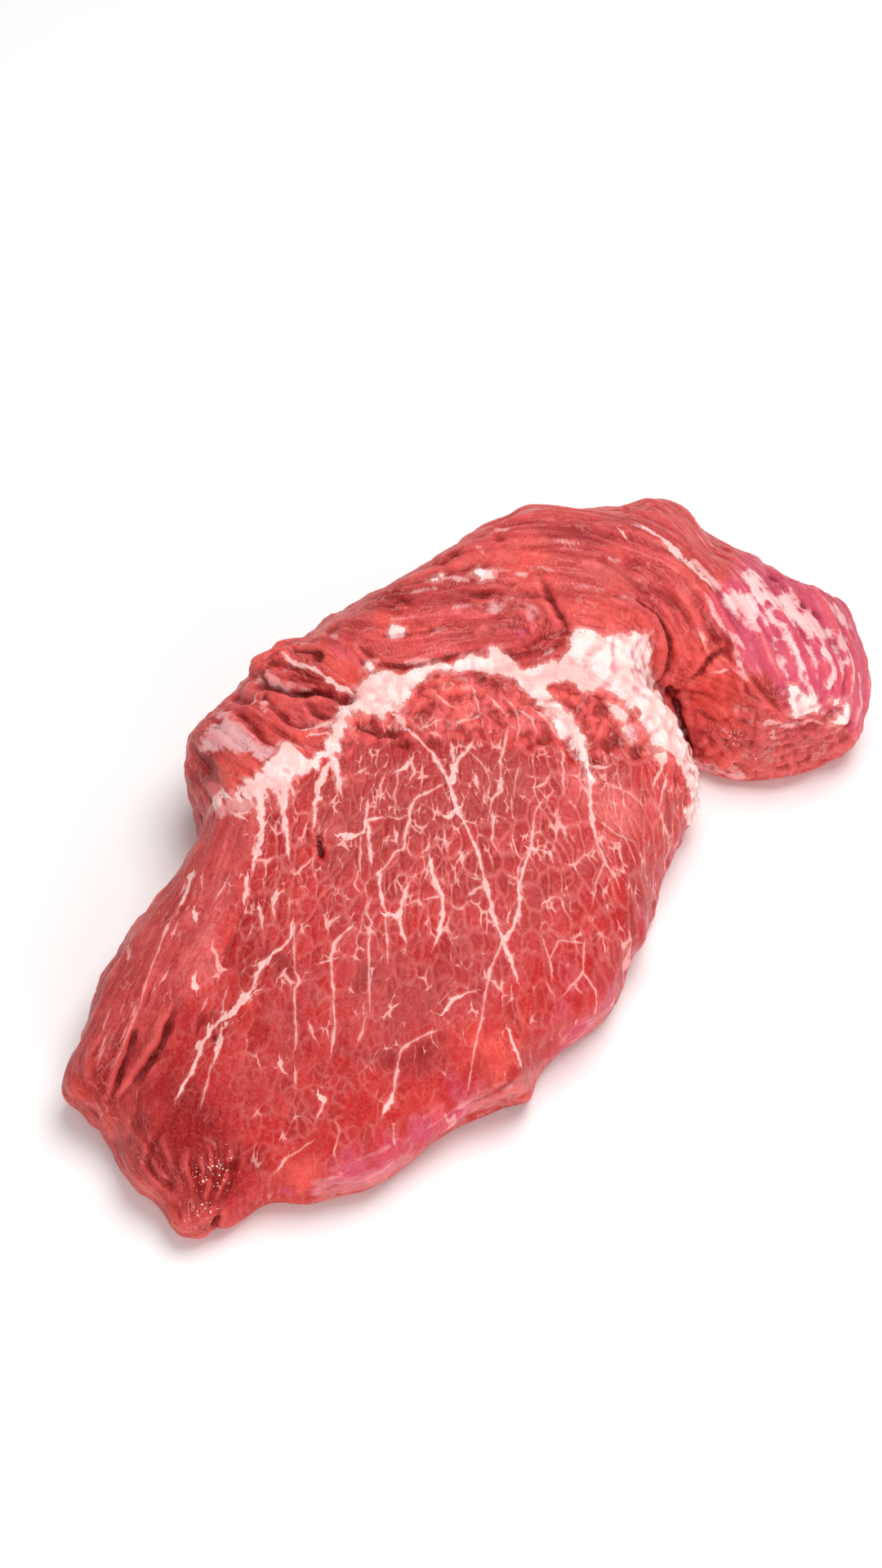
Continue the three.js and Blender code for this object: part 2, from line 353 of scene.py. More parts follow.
FAT_SHEETS = [
    SEAM_TOP + " " + SEAM_FOOT,
    "618,822 640,822 655,832 668,842 674,852 686,862 697,875 707,886 714,900 717,915 719,927 723,940 "
    "728,953 723,959 715,946 707,926 697,909 685,893 675,881 664,869 655,859 645,851 639,841 628,832",
    "343,913 352,905 357,912 366,922 375,930 387,935 380,941 366,943 355,946 340,949 322,951 316,946 "
    "330,936 338,925",
    "964,837 975,836 984,848 996,848 1002,860 1007,873 991,872 977,871 978,879 971,879 968,860",
    "1016,858 1025,860 1036,855 1040,862 1042,873 1036,880 1026,884 1010,887 1018,880 1026,873 1031,866 "
    "1022,864",
    "763,892 772,886 779,893 782,905 775,908 768,900", "742,858 755,866 770,880 760,884 748,872",
    "800,880 808,895 812,912 804,910 797,893", "803,925 812,922 815,935 806,938",
    "475,776 480,766 488,764 494,768 492,777 484,784 479,783",
    "579,703 586,698 600,699 607,702 600,708 588,709", "524,712 532,706 540,703 538,709 529,714",
    "444,820 449,812 458,811 456,819 449,822",
]

face = patch(CUT_FACE, 3, behind=True)
net_strength = patch(CUT_FACE, 10, behind=True) * (0.15 + 0.85 * ease(1340, 1000, seen_at[:, 1]))
net_strength *= 0.45 + 0.55 * ease(240, 330, seen_at[:, 0])
left_muscle = patch(LEFT_MUSCLE, 3, behind=True)
lobe_skin = patch(LOBE_SKIN, 2, behind=True)
lobe_end = patch(LOBE_END, 2, behind=True)
lobe_meat = patch(LOBE_MEAT, 2.5, behind=True)
torn_band = patch(TORN_BAND, 1.5)
fat_depth = np.full(count, -PATCH_REACH)
for outline in FAT_SHEETS:
    fat_depth = np.maximum(fat_depth, inside_of(outline))
fat_depth += 0.8 * ease(450, 490, seen_at[:, 0]) * rough(rest, 6, 309, 2)
seam = ease(-0.9, 0.9, fat_depth)
torn_band = torn_band * (1 - seam)
long_muscle = np.clip(1 - face - left_muscle - lobe_skin - lobe_end - torn_band - seam, 0, 1)
for name, region in (("face", face), ("left", left_muscle), ("lobe skin", lobe_skin), ("seam", seam)):
    print(name, "covers", round(100 * region.mean(), 1), "% of the points")

# %% [markdown]
# ## The run of the fibres
# Muscle is a bundle of fibres, and each streak and fold on its surface follows them. The lines
# below are drawn along the fibres. A coarse grid of cells takes its direction from the nearest lines.

# %% Fibre direction
FIBRES = [
    "430,790 500,790 560,782 620,778", "440,740 500,735 560,725 620,720 655,712",
    "500,712 560,692 620,680 680,680", "600,655 660,648 720,655 780,670 830,695 862,730 880,765",
    "640,630 700,630 760,640", "690,690 740,700 790,725 822,765 838,805",
    "700,735 750,745 788,770 804,800 800,825", "820,622 850,655 885,690",
    "600,752 632,742 656,758 652,784 622,790", "330,815 370,830 410,846",
    "330,862 370,876 410,882", "290,880 320,900 350,916", "400,785 425,800 440,828",
    "270,925 290,945 310,955", "300,1000 270,1100 220,1200 160,1330",
    "240,1060 190,1140 140,1230 100,1310", "330,1020 300,1120 260,1230 200,1350",
    "345,1000 345,1100 330,1250 300,1380", "480,950 480,1150 470,1350",
    "600,950 610,1150 600,1300", "750,920 770,1000 785,1080", "900,705 940,760 970,830",
    "960,712 1000,780 1020,850", "1030,770 1045,830 1045,890", "855,900 930,920 1020,900",
    "300,1470 400,1445 500,1395 600,1335 700,1260 765,1180", "100,1340 150,1400 200,1470",
    "250,1400 255,1450 250,1490", "840,840 870,850 900,860",
]
FLOW_CELL = 4.0
FLOW_EDGE = 12.0

places, headings = [], []
for text in FIBRES:
    path = trace(text)
    for start, end in zip(path[:-1], path[1:]):
        steps = max(int(np.linalg.norm(end - start) / 4), 1)
        for step in range(steps):
            places.append(start + (end - start) * (step + 0.5) / steps)
            headings.append((end - start) / np.linalg.norm(end - start))
places, headings = np.array(places), np.array(headings)
flow_low = rest.min(0) - FLOW_EDGE
flow_shape = np.ceil((rest.max(0) + FLOW_EDGE - flow_low) / FLOW_CELL).astype(int)
cells = np.stack(np.meshgrid(*[np.arange(n) for n in flow_shape], indexing="ij"), -1).reshape(-1, 3)
centres = flow_low + (cells + 0.5) * FLOW_CELL
outer = (headings[:, :, None] * headings[:, None, :]).reshape(-1, 9)
flow = np.empty((len(centres), 3))
for first in range(0, len(centres), 8000):
    block = centres[first:first + 8000]
    square = ((block[:, None, :] - places[None]) ** 2).sum(2)
    weight = 1 / (square + 9) ** 2
    spread = (weight @ outer).reshape(-1, 3, 3) / weight.sum(1)[:, None, None]
    flow[first:first + 8000] = np.linalg.eigh(spread)[1][:, :, 2]
flow = flow.reshape(*flow_shape, 3)
print(len(places), "fibre pieces steer", len(centres), "cells")

# %% [markdown]
# Each point walks some millimetres both ways along the fibres and adds up a fine noise on its way.
# That smears the noise into streaks that bend with the muscle, wide or narrow as the noise is.

# %% Streaks along the fibres
def flow_at(points):
    at = np.clip(((points - flow_low) / FLOW_CELL).astype(int), 0, flow_shape - 1)
    return flow[at[:, 0], at[:, 1], at[:, 2]]


def streaks(width, stride, steps, seed):
    """Noise of a given width, smeared along the fibres; about -2 to 2."""
    total = noise(rest, width, seed)
    for sense in (1, -1):
        points = rest.copy()
        heading = flow_at(points) * sense
        for step in range(steps):
            points = points + heading * stride
            total += noise(points, width, seed)
            turned = flow_at(points)
            heading = turned * np.where((turned * heading).sum(1) < 0, -1, 1)[:, None]
    return total / total.std()


fine_streaks = streaks(1.7, 1.3, 9, 11)
strands = streaks(3.4, 2.0, 9, 37)
bundles = streaks(5.5, 3.0, 7, 23)
broad_bundles = streaks(11.0, 4.0, 6, 29)
hidden = ease(0.05, -0.25, facing) * free
print("streaks reach", round(np.abs(fine_streaks).max(), 1), "times their usual strength")

# %% [markdown]
# ## Folds
# Where two bundles of muscle meet, the surface dips into a crease and swells on both sides of it.
# Each entry is a depth and a half width in millimetres, then the crease's line. A crease starts
# and ends at nothing, so that no fold stops dead. The same measure darkens the bottom of a deep
# crease later, because a real one is full of shadow and of dark wet meat.

# %% Creases
CREASES = {
    "hook": (3.6, 1.6, "752,728 783,737 800,750 812,768 820,785 822,805 818,820 810,832 802,842"),
    "hook upper": (1.1, 1.4, "735,716 770,724 797,738 816,756 830,776 838,800"),
    "hook outer": (0.9, 1.2, "795,716 822,732 838,753 848,780"),
    "hook inner": (0.8, 1.2, "715,742 750,748 778,762 795,782 802,802"),
    "round the node": (2.2, 1.4, "884,773 893,785 889,797 874,802 866,811 859,821 849,829 840,836"),
    "gap by the seam": (4.5, 1.8, "803,842 816,846 826,858 830,873 833,890 841,912 848,938"),
    "node underside": (2.2, 1.3, "816,838 826,850 836,846"),
    "lobe split": (1.6, 1.0, "917,828 931,847 945,862 960,876"),
    "lobe notch": (1.8, 1.0, "911,836 914,852"),
    "main fold": (2.3, 1.6, "658,700 668,716 673,732 681,746 688,757 694,770 697,784"),
    "main fold low": (1.0, 1.2, "646,793 660,783 681,779"),
    "main fold foot": (1.0, 1.2, "654,804 672,797 688,786 697,775"),
    "swirl top": (1.0, 1.2, "604,754 622,745 640,742 652,751 656,766"),
    "swirl low": (0.8, 1.1, "616,766 640,769 652,783"),
    "above the seam": (2.1, 1.5, "456,806 475,813 497,817 515,815 530,810 548,805 566,799 586,797"),
    "long groove": (1.3, 1.2, "424,765 445,774 462,778 478,780 500,776 522,774 542,769 558,764"),
    "short groove": (1.6, 1.4, "426,788 440,792 451,801 462,807"),
    "seam notch": (2.0, 1.2, "622,797 631,808 637,819"),
    "back groove": (1.4, 1.2, "555,724 580,729 610,729 634,721"),
    "back hollow": (2.2, 2.2, "538,693 551,686 562,678"),
    "back line": (1.0, 1.1, "598,712 625,716 652,708"),
    "back curl": (1.1, 1.2, "605,651 612,660 619,665"),
    "hump line": (1.0, 1.2, "760,629 775,622 790,625 802,618"),
    "hump long": (0.9, 1.1, "690,640 740,634 775,640"),
    "edge pits": (1.8, 1.6, "482,737 493,734 506,737"),
    "torn lip": (2.8, 1.0, "424,884 436,887 447,894 459,900 472,902 484,899"),
    "tip ridge": (1.3, 1.0, "252,1410 254,1435 250,1462"),
    "tip ridge 2": (1.2, 1.0, "273,1412 273,1436 266,1456"),
    "flap foot": (4.6, 1.3, "314,829 320,813 330,804 345,799 355,789"),
    "dark cleft": (3.8, 1.7, "315,838 330,841 345,846 358,850 372,849 387,848 400,850 411,856 "
                   "424,857 435,851"),
    "bundle low": (2.2, 1.4, "371,850 377,862 384,871 398,878 415,876"),
    "bundle left": (2.2, 1.4, "323,850 332,862 341,872 350,881 358,887"),
    "bundle edge": (1.9, 1.4, "283,868 300,880 312,893 322,905 336,912"),
    "bundle foot": (1.6, 1.3, "345,872 353,884 368,889 386,887"),
    "bundle top": (2.4, 2.0, "360,795 374,795 388,797 392,806 384,811"),
    "bundle right": (1.5, 1.3, "330,885 345,897 360,905 372,915 379,926"),
    "bundle line": (1.2, 1.1, "345,823 352,817 364,816 378,824"),
    "fold near the side": (3.0, 1.3, "172,1240 166,1262 160,1280 150,1308 141,1335 134,1354"),
    "fold across": (3.2, 1.4, "218,1226 208,1250 197,1279 181,1302 164,1326 143,1352"),
    "fold by the face": (1.0, 1.0, "301,1102 294,1131 281,1159 272,1185 261,1214"),
    "short fold": (1.3, 0.9, "250,1228 244,1250 238,1272"),
    "upper fold": (1.2, 0.9, "235,1090 227,1107 216,1125"),
    "side fold": (1.1, 1.0, "190,1196 181,1222 173,1245"),
    "tip middle": (1.7, 1.3, "262,1396 266,1425 262,1455 254,1478"),
    "tip left": (1.3, 1.3, "238,1402 236,1428 244,1456 249,1482"),
    "tip right": (1.7, 1.3, "293,1398 287,1425 281,1450 268,1472"),
    "tip side": (1.1, 1.2, "196,1384 184,1404 180,1425 192,1442 210,1459"),
    "tip dip": (0.7, 1.3, "207,1394 216,1420 206,1446"),
    "tip notch": (2.4, 1.1, "264,1508 262,1498 267,1486"),
    "edge fold": (0.8, 1.3, "150,1354 160,1376 156,1402 166,1424"),
    "slit": (5.5, 1.0, "389,1018 391,1034 394,1050"),
    "ear": (1.4, 1.2, "572,1354 598,1341 620,1329 645,1322"),
    "wrinkle 1": (0.9, 0.8, "382,1444 396,1448 410,1446"),
    "wrinkle 2": (0.9, 0.8, "386,1456 402,1458 418,1452"),
    "wrinkle 3": (0.9, 0.8, "404,1425 416,1432 424,1440"),
}
PITS = ("480,898,2.8,3.2 500,894,2.0,2.0 461,890,2.6,2.2 442,889,2.2,2.0 510,880,2.0,1.8 "
        "527,906,2.2,2.0 430,912,2.2,2.0 497,912,2.0,1.8 562,891,2.2,2.0 592,834,3.0,2.6 "
        "608,839,2.2,2.0 640,899,2.2,1.8 664,906,2.0,1.6 690,905,2.2,1.8 757,905,3.0,2.4 "
        "744,911,2.4,2.0 777,922,2.4,2.2 784,915,2.0,2.0 728,930,2.0,2.0 736,868,2.4,2.2 "
        "520,873,2.6,1.6 545,888,2.0,1.4 701,926,1.8,1.4 321,851,1.8,3.0 261,1272,1.4,2.0 "
        "425,856,2.6,3.0 985,739,1.8,2.4 1001,751,1.6,2.4 948,706,2.4,2.0 768,621,2.0,1.6 "
        "803,840,2.6,3.0 917,912,2.2,1.8 870,905,2.0,1.6 1042,889,1.6,2.6 612,658,1.8,2.0 "
        "688,775,2.2,2.2 240,1436,2.4,1.8 205,1452,2.2,1.6 280,1430,2.4,1.8 985,905,2.0,1.4")

relief = np.zeros(count)
depth_of = np.zeros(count)
wander = rough(rest, 7, 31, 2)
for name, (depth, half, text) in CREASES.items():
    index, distance, side, share = near(trace(text), half * 4)
    fade = np.clip(np.sin(np.pi * np.clip(share, 0.02, 0.98)), 0, 1) ** 0.6
    across = np.maximum(distance + wander[index] * half * 0.6, 0) / half
    groove = np.exp(-1.6 * across ** 1.5)
    lips = np.exp(-(across - 1.5) ** 2 / 1.1) * np.where(side > 0, 0.6, 0.1)
    relief[index] += depth * fade * (lips - groove)
    depth_of[index] = np.maximum(depth_of[index], depth * fade * np.exp(-(1.8 * across) ** 2))
for across_px, down_px, half, depth in (map(float, pit.split(",")) for pit in PITS.split()):
    offset = np.linalg.norm(rest - touch(np.array([across_px, down_px])), axis=1)
    hollow = depth * np.exp(-(offset / half * (1 + 0.4 * wander)) ** 2)
    relief -= hollow
    depth_of = np.maximum(depth_of, 0.7 * hollow * np.exp(-(offset / half) ** 2))
print(len(CREASES), "creases, the deepest", round(depth_of.max(), 1), "mm")

# %% [markdown]
# ## Lumps, torn meat and fibres
# Between the named folds, each kind of surface gets its own relief. Fat and torn meat are both
# heaps of small lumps. `pebbles` drops random centres on a region, and each point then belongs to
# its nearest centre: where two centres are equally near, there is a gap between two lumps. The long
# muscle has rounded strands with fine wrinkles where they meet. The side that the photograph hides
# gets broader folds along the same fibres.

# %% Relief of each surface
def pebbles(region, spacing, seed):
    """For a region: how far each point is from the gap between two lumps, and its lump's own number."""
    draw = np.random.default_rng(seed)
    members = np.flatnonzero(region > 0.02)
    centres = draw.choice(members, max(int(len(members) * (GRID / spacing) ** 2), 2), replace=False)
    lookup = KDTree(len(centres))
    for order, centre in enumerate(centres):
        lookup.insert(rest[centre], order)
    lookup.balance()
    gap, own = np.zeros(count), np.zeros(count)
    numbers = draw.uniform(-1, 1, len(centres))
    bend = np.stack([noise(rest, spacing, seed + axis) for axis in range(3)], axis=1)
    warped_points = rest + 0.25 * spacing * bend
    for member in members:
        first, second = lookup.find_n(warped_points[member], 2)
        gap[member] = second[2] - first[2]
        own[member] = numbers[first[1]]
    return gap, own


muscle = np.clip(long_muscle + 0.8 * left_muscle, 0, 1)
swell = rough(rest, 30, 41, 2)
shreds = rough(rest, 4.2, 61, 3)
grain = rough(rest, 2.4, 71, 2)
between = ease(1.1, 2.6, -bundles) * long_muscle * (1 - 0.5 * ease(0.05, -0.25, facing))
wrinkled = ease(-0.5, 0.5, rough(rest, 14, 47, 2)) * (muscle + 0.5 * lobe_meat + 0.4 * lobe_skin)
wrinkles = np.exp(-(strands / 0.26) ** 2) * np.clip(wrinkled, 0, 1)
fat_gap, fat_own = pebbles(seam, 9.0, 201)
torn_all = np.maximum(torn_band, 0.75 * lobe_end)
torn_gap, torn_own = pebbles(torn_all, 5.2, 211)
crumb_gap = pebbles(torn_all, 2.6, 221)[0]

relief += free * 0.9 * swell
relief += free * muscle * (0.27 * bundles + 0.13 * strands + 0.1 * fine_streaks) - free * 0.7 * between
relief -= free * 0.32 * wrinkles
hidden_folds = np.exp(-(broad_bundles / 0.2) ** 2) * hidden * ease(-0.4, 0.6, rough(rest, 24, 49, 2))
relief += hidden * 0.9 * broad_bundles - 1.1 * hidden_folds
lumpy = 0.3 + 0.7 * ease(660, 720, seen_at[:, 0])
puffs = ease(0, 4.0, fat_gap) + 0.3 * fat_own + 0.5 * rough(rest, 4.0, 55, 3) + 0.15 * strands
relief += seam * (0.5 + 1.0 * lumpy * puffs + 0.25 * strands)
rim = ease(0.75, 0.3, np.abs(normals[:, 2])) * free
relief += rim * (1.0 * rough(rest, 13, 45, 3))
torn_lumps = ease(0, 1.8, torn_gap) + 0.6 * torn_own + 0.45 * ease(0, 1.2, crumb_gap)
torn_pits = torn_band * ease(0.7, 1.5, rough(rest, 4.6, 65, 2))
relief += torn_all * free * (1.1 * torn_lumps - 0.4 + 0.9 * shreds + 0.5 * strands) - 1.6 * torn_pits
relief += lobe_meat * 0.6 * shreds
relief += lobe_skin * free * (0.35 * bundles + 0.2 * strands + 0.12 * fine_streaks)
relief += face * free * (0.22 * rough(rest, 6, 81, 2) + 0.08 * grain)
# Where torn lumps meet, the crease depth grows, and the shader paints shade with dark wet meat there.
torn_shade_depth = torn_band * ease(0.9, 0.1, torn_gap) * ease(-0.2, 0.9, rough(rest, 8, 63, 2) - 0.5 * torn_own)
depth_of = np.maximum(depth_of, np.maximum(1.1 * between, 1.3 * hidden_folds))
depth_of = np.maximum(depth_of, np.maximum(0.9 * torn_shade_depth, 1.7 * torn_pits))
depth_of = np.maximum(depth_of, 0.8 * lobe_end * ease(0.8, 0.1, torn_gap) * ease(0, 1, shreds))
print("relief from", round(relief.min(), 1), "to", round(relief.max(), 1), "mm")

# %% [markdown]
# ## Colour in soft patches
# Meat is never one red. Where air reached it, it is bright; where it lay against other meat, it is
# brown or purple; over the rim a thin pink film covers it. The dark patches also paint shade: some
# sit in pits, clefts and the gaps between lumps, and thin strips are painted shadow under the curled
# flap and in the folds of the tip. Each entry below is a pixel, a radius in millimetres and a
# strength, and the radius is blurred and warped by noise, so that nobody sees a circle. A panel is a
# closed outline instead: tone, strength, soft edge in millimetres, pixels.
# The glint patches carry no colour of their own: in them the shader paints small highlights, like
# glints on wet drops.

# %% Soft patches
# Dark patches: darker meat, and painted shade in pits, clefts and gaps.
DARK_AND_SHADE = ("250,1500,12,.5 205,1475,9,.4 75,1310,9,.4 340,1172,8,.55 365,1238,8,.4 450,1200,11,.45 "
        "500,1290,11,.55 420,1290,8,.4 540,1270,7,.35 "
        "235,1385,17,.8 250,1440,15,1 195,1420,10,.8 170,1380,9,.6 610,1092,7,.6 598,1065,4,.5 "
        "380,832,10,.75 400,845,8,.5 350,832,8,.5 375,800,5,.6 250,935,7,.8 238,965,6,.7 "
        "480,735,9,.45 548,686,5,.8 600,728,10,.5 560,728,8,.4 668,745,5,.35 684,778,6,.5 "
        "655,792,4,.3 700,648,11,.35 850,712,11,.4 790,690,9,.3 880,787,5,.7 826,852,5,.8 "
        "850,922,6,.9 945,845,9,.6 950,706,5,.8 985,738,3,.8 905,905,8,.4 985,905,9,.4 "
        "330,840,4,.5 420,852,6,.9 490,895,6,.6 450,895,6,.5 528,908,5,.5 755,908,9,.6 "
        "690,860,7,.45 600,838,6,.4 775,905,6,.5 330,990,10,.3 380,960,9,.45 350,1000,8,.3 "
        "240,1250,9,.35 150,1320,6,.5 185,1300,8,.4 300,1425,9,.5 110,1320,9,.3 600,770,12,.3")
BROWN = ("740,715,20,.5 455,950,14,.8 500,935,12,.8 540,930,10,.6 470,990,10,.6 515,990,9,.7 "
         "390,960,9,.6 "
         "340,1180,11,.7 350,1250,12,.6 450,1190,12,.6 500,1230,12,.7 520,1290,12,.6 560,950,10,.5 "
         "260,1100,12,.5 225,1080,10,.5 620,930,9,.4 440,925,10,.6 580,1095,8,.5 470,1130,10,.3")
BRIGHT = ("862,852,12,.9 884,868,10,.8 645,688,14,.6 290,942,9,.9 330,800,6,.9 345,787,5,.9 "
          "870,838,15,.8 812,800,9,.8 "
          "850,800,8,.7 560,850,9,.5 605,1300,10,.6 590,1270,8,.5 365,1440,10,.7 240,1492,11,.4 "
          "210,1480,10,.4 440,878,6,.8 690,850,8,.6 420,815,7,.7 370,905,6,.9 330,895,7,.7 "
          "880,920,10,.6 820,860,5,.6 250,1400,6,.2 130,1380,9,.7 95,1340,7,.7 275,990,5,.9 "
          "520,1350,9,.4 550,1250,10,.3 430,950,6,.5 760,720,9,.5 300,1240,5,.6 610,1030,6,.5")
PINK = ("775,1180,9,.9 745,1225,10,.9 710,1265,10,.9 790,1130,8,.7 805,1080,7,.6 680,1290,7,.8 "
        "620,1345,7,.4 560,1365,9,.8 520,1390,10,.8 470,1425,10,.8 430,1440,9,.8 395,1455,6,.7 "
        "560,1335,8,.5 590,1330,7,.4 690,1230,9,.5 440,1415,7,.5 340,1462,4,.7 700,1190,8,.3 "
        "640,782,3,.9 850,1010,6,.7 838,1040,7,.6 1050,860,8,.6 980,900,12,.4 720,650,14,.2")
PALE = ("760,1000,14,.8 800,980,9,.6 720,960,12,.6 730,1050,10,.4 650,960,9,.4 430,1000,9,.4 "
        "250,1165,9,.4 240,1190,7,.4 560,870,12,.5 610,870,10,.6 650,880,10,.5 740,860,9,.4 "
        "760,940,12,.5 640,745,8,.3 740,770,10,.4 370,860,9,.3 410,1010,8,.5 330,1130,9,.2")
GLINT_SPOTS = ("640,1270,9,.7 700,1205,8,.6 760,1170,9,.6 800,1090,7,.5 560,1300,12,.45 470,1250,12,.35 "
       "330,1180,9,.3 "
       "262,1430,13,1 236,1442,10,.9 284,1436,9,.8 240,1492,11,.9 172,1428,6,.6 200,1455,6,.5 "
       "895,900,12,1 925,930,11,.8 870,880,8,.7 980,905,12,.6 605,1300,11,.7 590,1270,8,.5 "
       "365,1440,8,.6 520,1340,9,.5 560,1330,8,.5 440,885,5,.8 475,873,5,.6 412,843,6,.8 "
       "520,811,7,.9 490,815,6,.8 560,850,7,.6 600,735,7,.5 690,840,5,.4 830,825,7,.5 510,1230,8,.4 "
       "850,800,6,.5 225,1372,8,.4 130,1360,7,.4")

# A patch with a shape of its own: the tone it strengthens, how much, its soft edge and its outline.
PANELS = [
    ("bright", .9, 1.0, "353,787 343,783 335,786 322,795 313,799 306,808 308,818 322,820 326,812 "
     "345,798"),
    # Many dark panels below sit in clefts, pits and gaps between lumps: painted shade over darker meat.
    ("dark_and_shade", .8, 0.8, "352,799 365,795 386,794 393,800 391,808 380,812 365,806"),
    ("dark_and_shade", .85, 1.0, "350,824 375,821 395,832 415,840 432,850 422,859 405,856 385,849 365,846 352,836"),
    ("dark_and_shade", .8, 1.0, "240,922 257,920 263,932 269,950 270,961 262,959 252,956 243,945"),
    ("bright", .6, 1.0, "262,920 290,920 305,925 316,935 319,945 300,951 290,957 276,966 268,950"),
    ("dark_and_shade", .5, 1.5, "283,868 300,856 318,876 330,894 322,902 305,886 290,878"),
    ("bright", .8, 1.2, "355,905 366,903 378,915 380,928 372,926 362,916"),
    ("bright", .7, 1.2, "385,780 400,785 425,800 445,815 440,840 425,843 400,826 396,805"),
    ("pink", .5, 1.2, "400,785 420,790 440,800 455,812 445,822 425,812 405,803"),
    ("dark_and_shade", .8, 0.8, "935,708 945,700 955,703 963,714 959,722 948,720 938,715"),
    ("dark_and_shade", .9, 0.8, "974,722 980,724 987,740 980,742 975,734"),
    ("dark_and_shade", .9, 0.8, "988,746 996,744 1004,755 998,758"),
    ("dark_and_shade", .7, 0.9, "868,778 880,774 890,782 888,797 874,798 866,790"),
    ("dark_and_shade", .9, 0.9, "806,846 820,842 832,846 834,858 826,866 812,860"),
    ("dark_and_shade", .9, 1.0, "836,900 846,915 862,934 880,946 860,944 846,938 838,920"),
    ("dark_and_shade", .5, 1.0, "930,812 945,808 958,828 962,850 955,862 942,850 934,832"),
    ("dark_and_shade", .75, 1.0, "449,893 462,889 476,891 482,897 478,902 462,901 452,899"),
    ("dark_and_shade", .8, 1.0, "480,902 496,903 500,912 490,916 481,911"),
    ("dark_and_shade", .7, 1.0, "504,874 520,866 530,873 526,880 512,880"),
    ("dark_and_shade", .6, 1.5, "738,890 755,885 780,905 790,930 770,925 745,915"),
    ("dark_and_shade", .6, 1.2, "686,855 706,862 722,868 726,880 712,880 696,872"),
    ("bright", .8, 1.2, "536,832 560,826 572,840 566,858 545,858 537,846"),
    ("bright", .8, 1.2, "424,880 440,874 470,882 480,892 460,888 436,888"),
    ("bright", .7, 1.5, "668,844 690,840 706,850 700,862 684,858"),
    ("dark_and_shade", .95, 2.0, "244,1412 262,1404 280,1410 276,1440 262,1470 250,1478 240,1450"),
    # A thin strip of painted shadow under the curled flap.
    ("dark_and_shade", 1.0, 0.5, "354,787 344,796 332,805 323,816 315,829 319,831 327,820 336,809 347,801 357,791"),
    ("brown", .7, 3.0, LOBE_END),
    ("brown", .8, 4.0, "425,905 500,905 600,910 660,930 640,1010 560,1010 470,1060 400,1080 385,1000"),
    ("dark_and_shade", .7, 1.2, "200,1420 225,1400 262,1395 290,1405 285,1440 262,1475 245,1480 225,1455"),
    ("bright", .45, 3.0, "430,735 470,745 520,760 560,770 520,778 470,772 440,756"),
    ("bright", .45, 2.0, "680,735 740,728 790,752 800,790 780,775 740,770 700,765"),
    ("brown", .6, 4.0, LEFT_MUSCLE),
    ("dark_and_shade", .5, 8.0, "80,1340 110,1290 150,1240 190,1300 150,1365 110,1375"),
    ("dark_and_shade", .45, 5.0, "170,1440 200,1470 240,1500 262,1500 250,1470 210,1440"),
    # Thin strips of painted shade along the folds of the tip.
    ("dark_and_shade", 1.0, .6, "250,1440 256,1442 260,1478 254,1480"),
    ("dark_and_shade", .9, .6, "263,1452 270,1452 272,1492 266,1494"),
    ("dark_and_shade", 1.0, .6, "271,1420 282,1416 286,1440 280,1460 273,1450"),
    ("dark_and_shade", .9, .8, "188,1412 198,1416 204,1446 194,1444"),
    ("dark_and_shade", .8, .6, "226,1415 231,1417 236,1448 230,1446"),
    ("brown", .7, 3.0, "455,735 500,712 560,700 640,715 650,745 600,750 540,745 490,748"),
    ("brown", .6, 3.0, "640,640 720,635 780,650 740,672 680,668"),
    ("brown", .6, 3.0, "540,770 600,752 640,760 645,790 610,795 560,790"),
    ("brown", .5, 3.0, "800,690 850,715 862,745 840,760 815,735 790,712"),
    ("pale", .5, 3.0, "700,700 760,690 800,705 790,722 740,718"),
]

warped = rest + np.stack([rough(rest, 14, 91 + axis, 2) for axis in range(3)], axis=1) * 4


def blotches(text):
    """The strongest soft patch at each point, from a list of pixel, radius and strength."""
    total = np.zeros(count)
    for patch_text in text.split():
        across_px, down_px, radius, strength = map(float, patch_text.split(","))
        offset = np.linalg.norm(warped - touch(np.array([across_px, down_px])), axis=1) / radius
        total = np.maximum(total, strength * np.exp(-offset ** 2 * 1.1))
    return total


dark_and_shade, brown, bright = blotches(DARK_AND_SHADE), blotches(BROWN), blotches(BRIGHT)
pink, pale, glint_spots = blotches(PINK), blotches(PALE), blotches(GLINT_SPOTS)
tones = {"dark_and_shade": dark_and_shade, "brown": brown, "bright": bright, "pink": pink, "pale": pale}
for tone, strength, feather, outline in PANELS:
    tones[tone] = np.maximum(tones[tone], strength * patch(outline, feather))
dark_and_shade, brown, bright, pink, pale = tones.values()
dark_and_shade = np.maximum(dark_and_shade, hidden * 0.45 * ease(0.1, 0.8, rough(rest, 26, 101, 2)))
pink = np.maximum(pink, hidden * 0.4 * ease(0.1, 0.7, rough(rest, 30, 103, 2)))
bright = np.maximum(bright, hidden * 0.5 * ease(0.1, 0.7, rough(rest, 28, 105, 2)))
lobe_film = lobe_skin * ease(1.0, 0.2, hidden + 0.6 * rough(rest, 14, 303, 2))
pink = np.maximum(pink, 0.3 * lobe_skin * hidden * ease(-0.3, 0.6, rough(rest, 9, 305, 2)))
print("dark patches cover", round(100 * (dark_and_shade > 0.3).mean(), 1), "% of the points")

# %% [markdown]
# ## Veins of fat
# A vein is thinner than one square of the skin, so painting it point by point would give a blurred,
# beaded line. Instead each point stores how far it is from the vein, with a minus sign on one side.
# Between two points that number passes through zero exactly on the vein, and the shader draws a
# crisp line there. Two veins closer than a few millimetres would disturb each other's numbers, so a
# loop deals them into groups, each vein into a group where it has room. An entry is the half width
# at its start and at its end in millimetres, then its line. The thin film on the lobe is drawn as
# veil sheets and veil lines. The hidden side gets some patches of film and fat from noise.

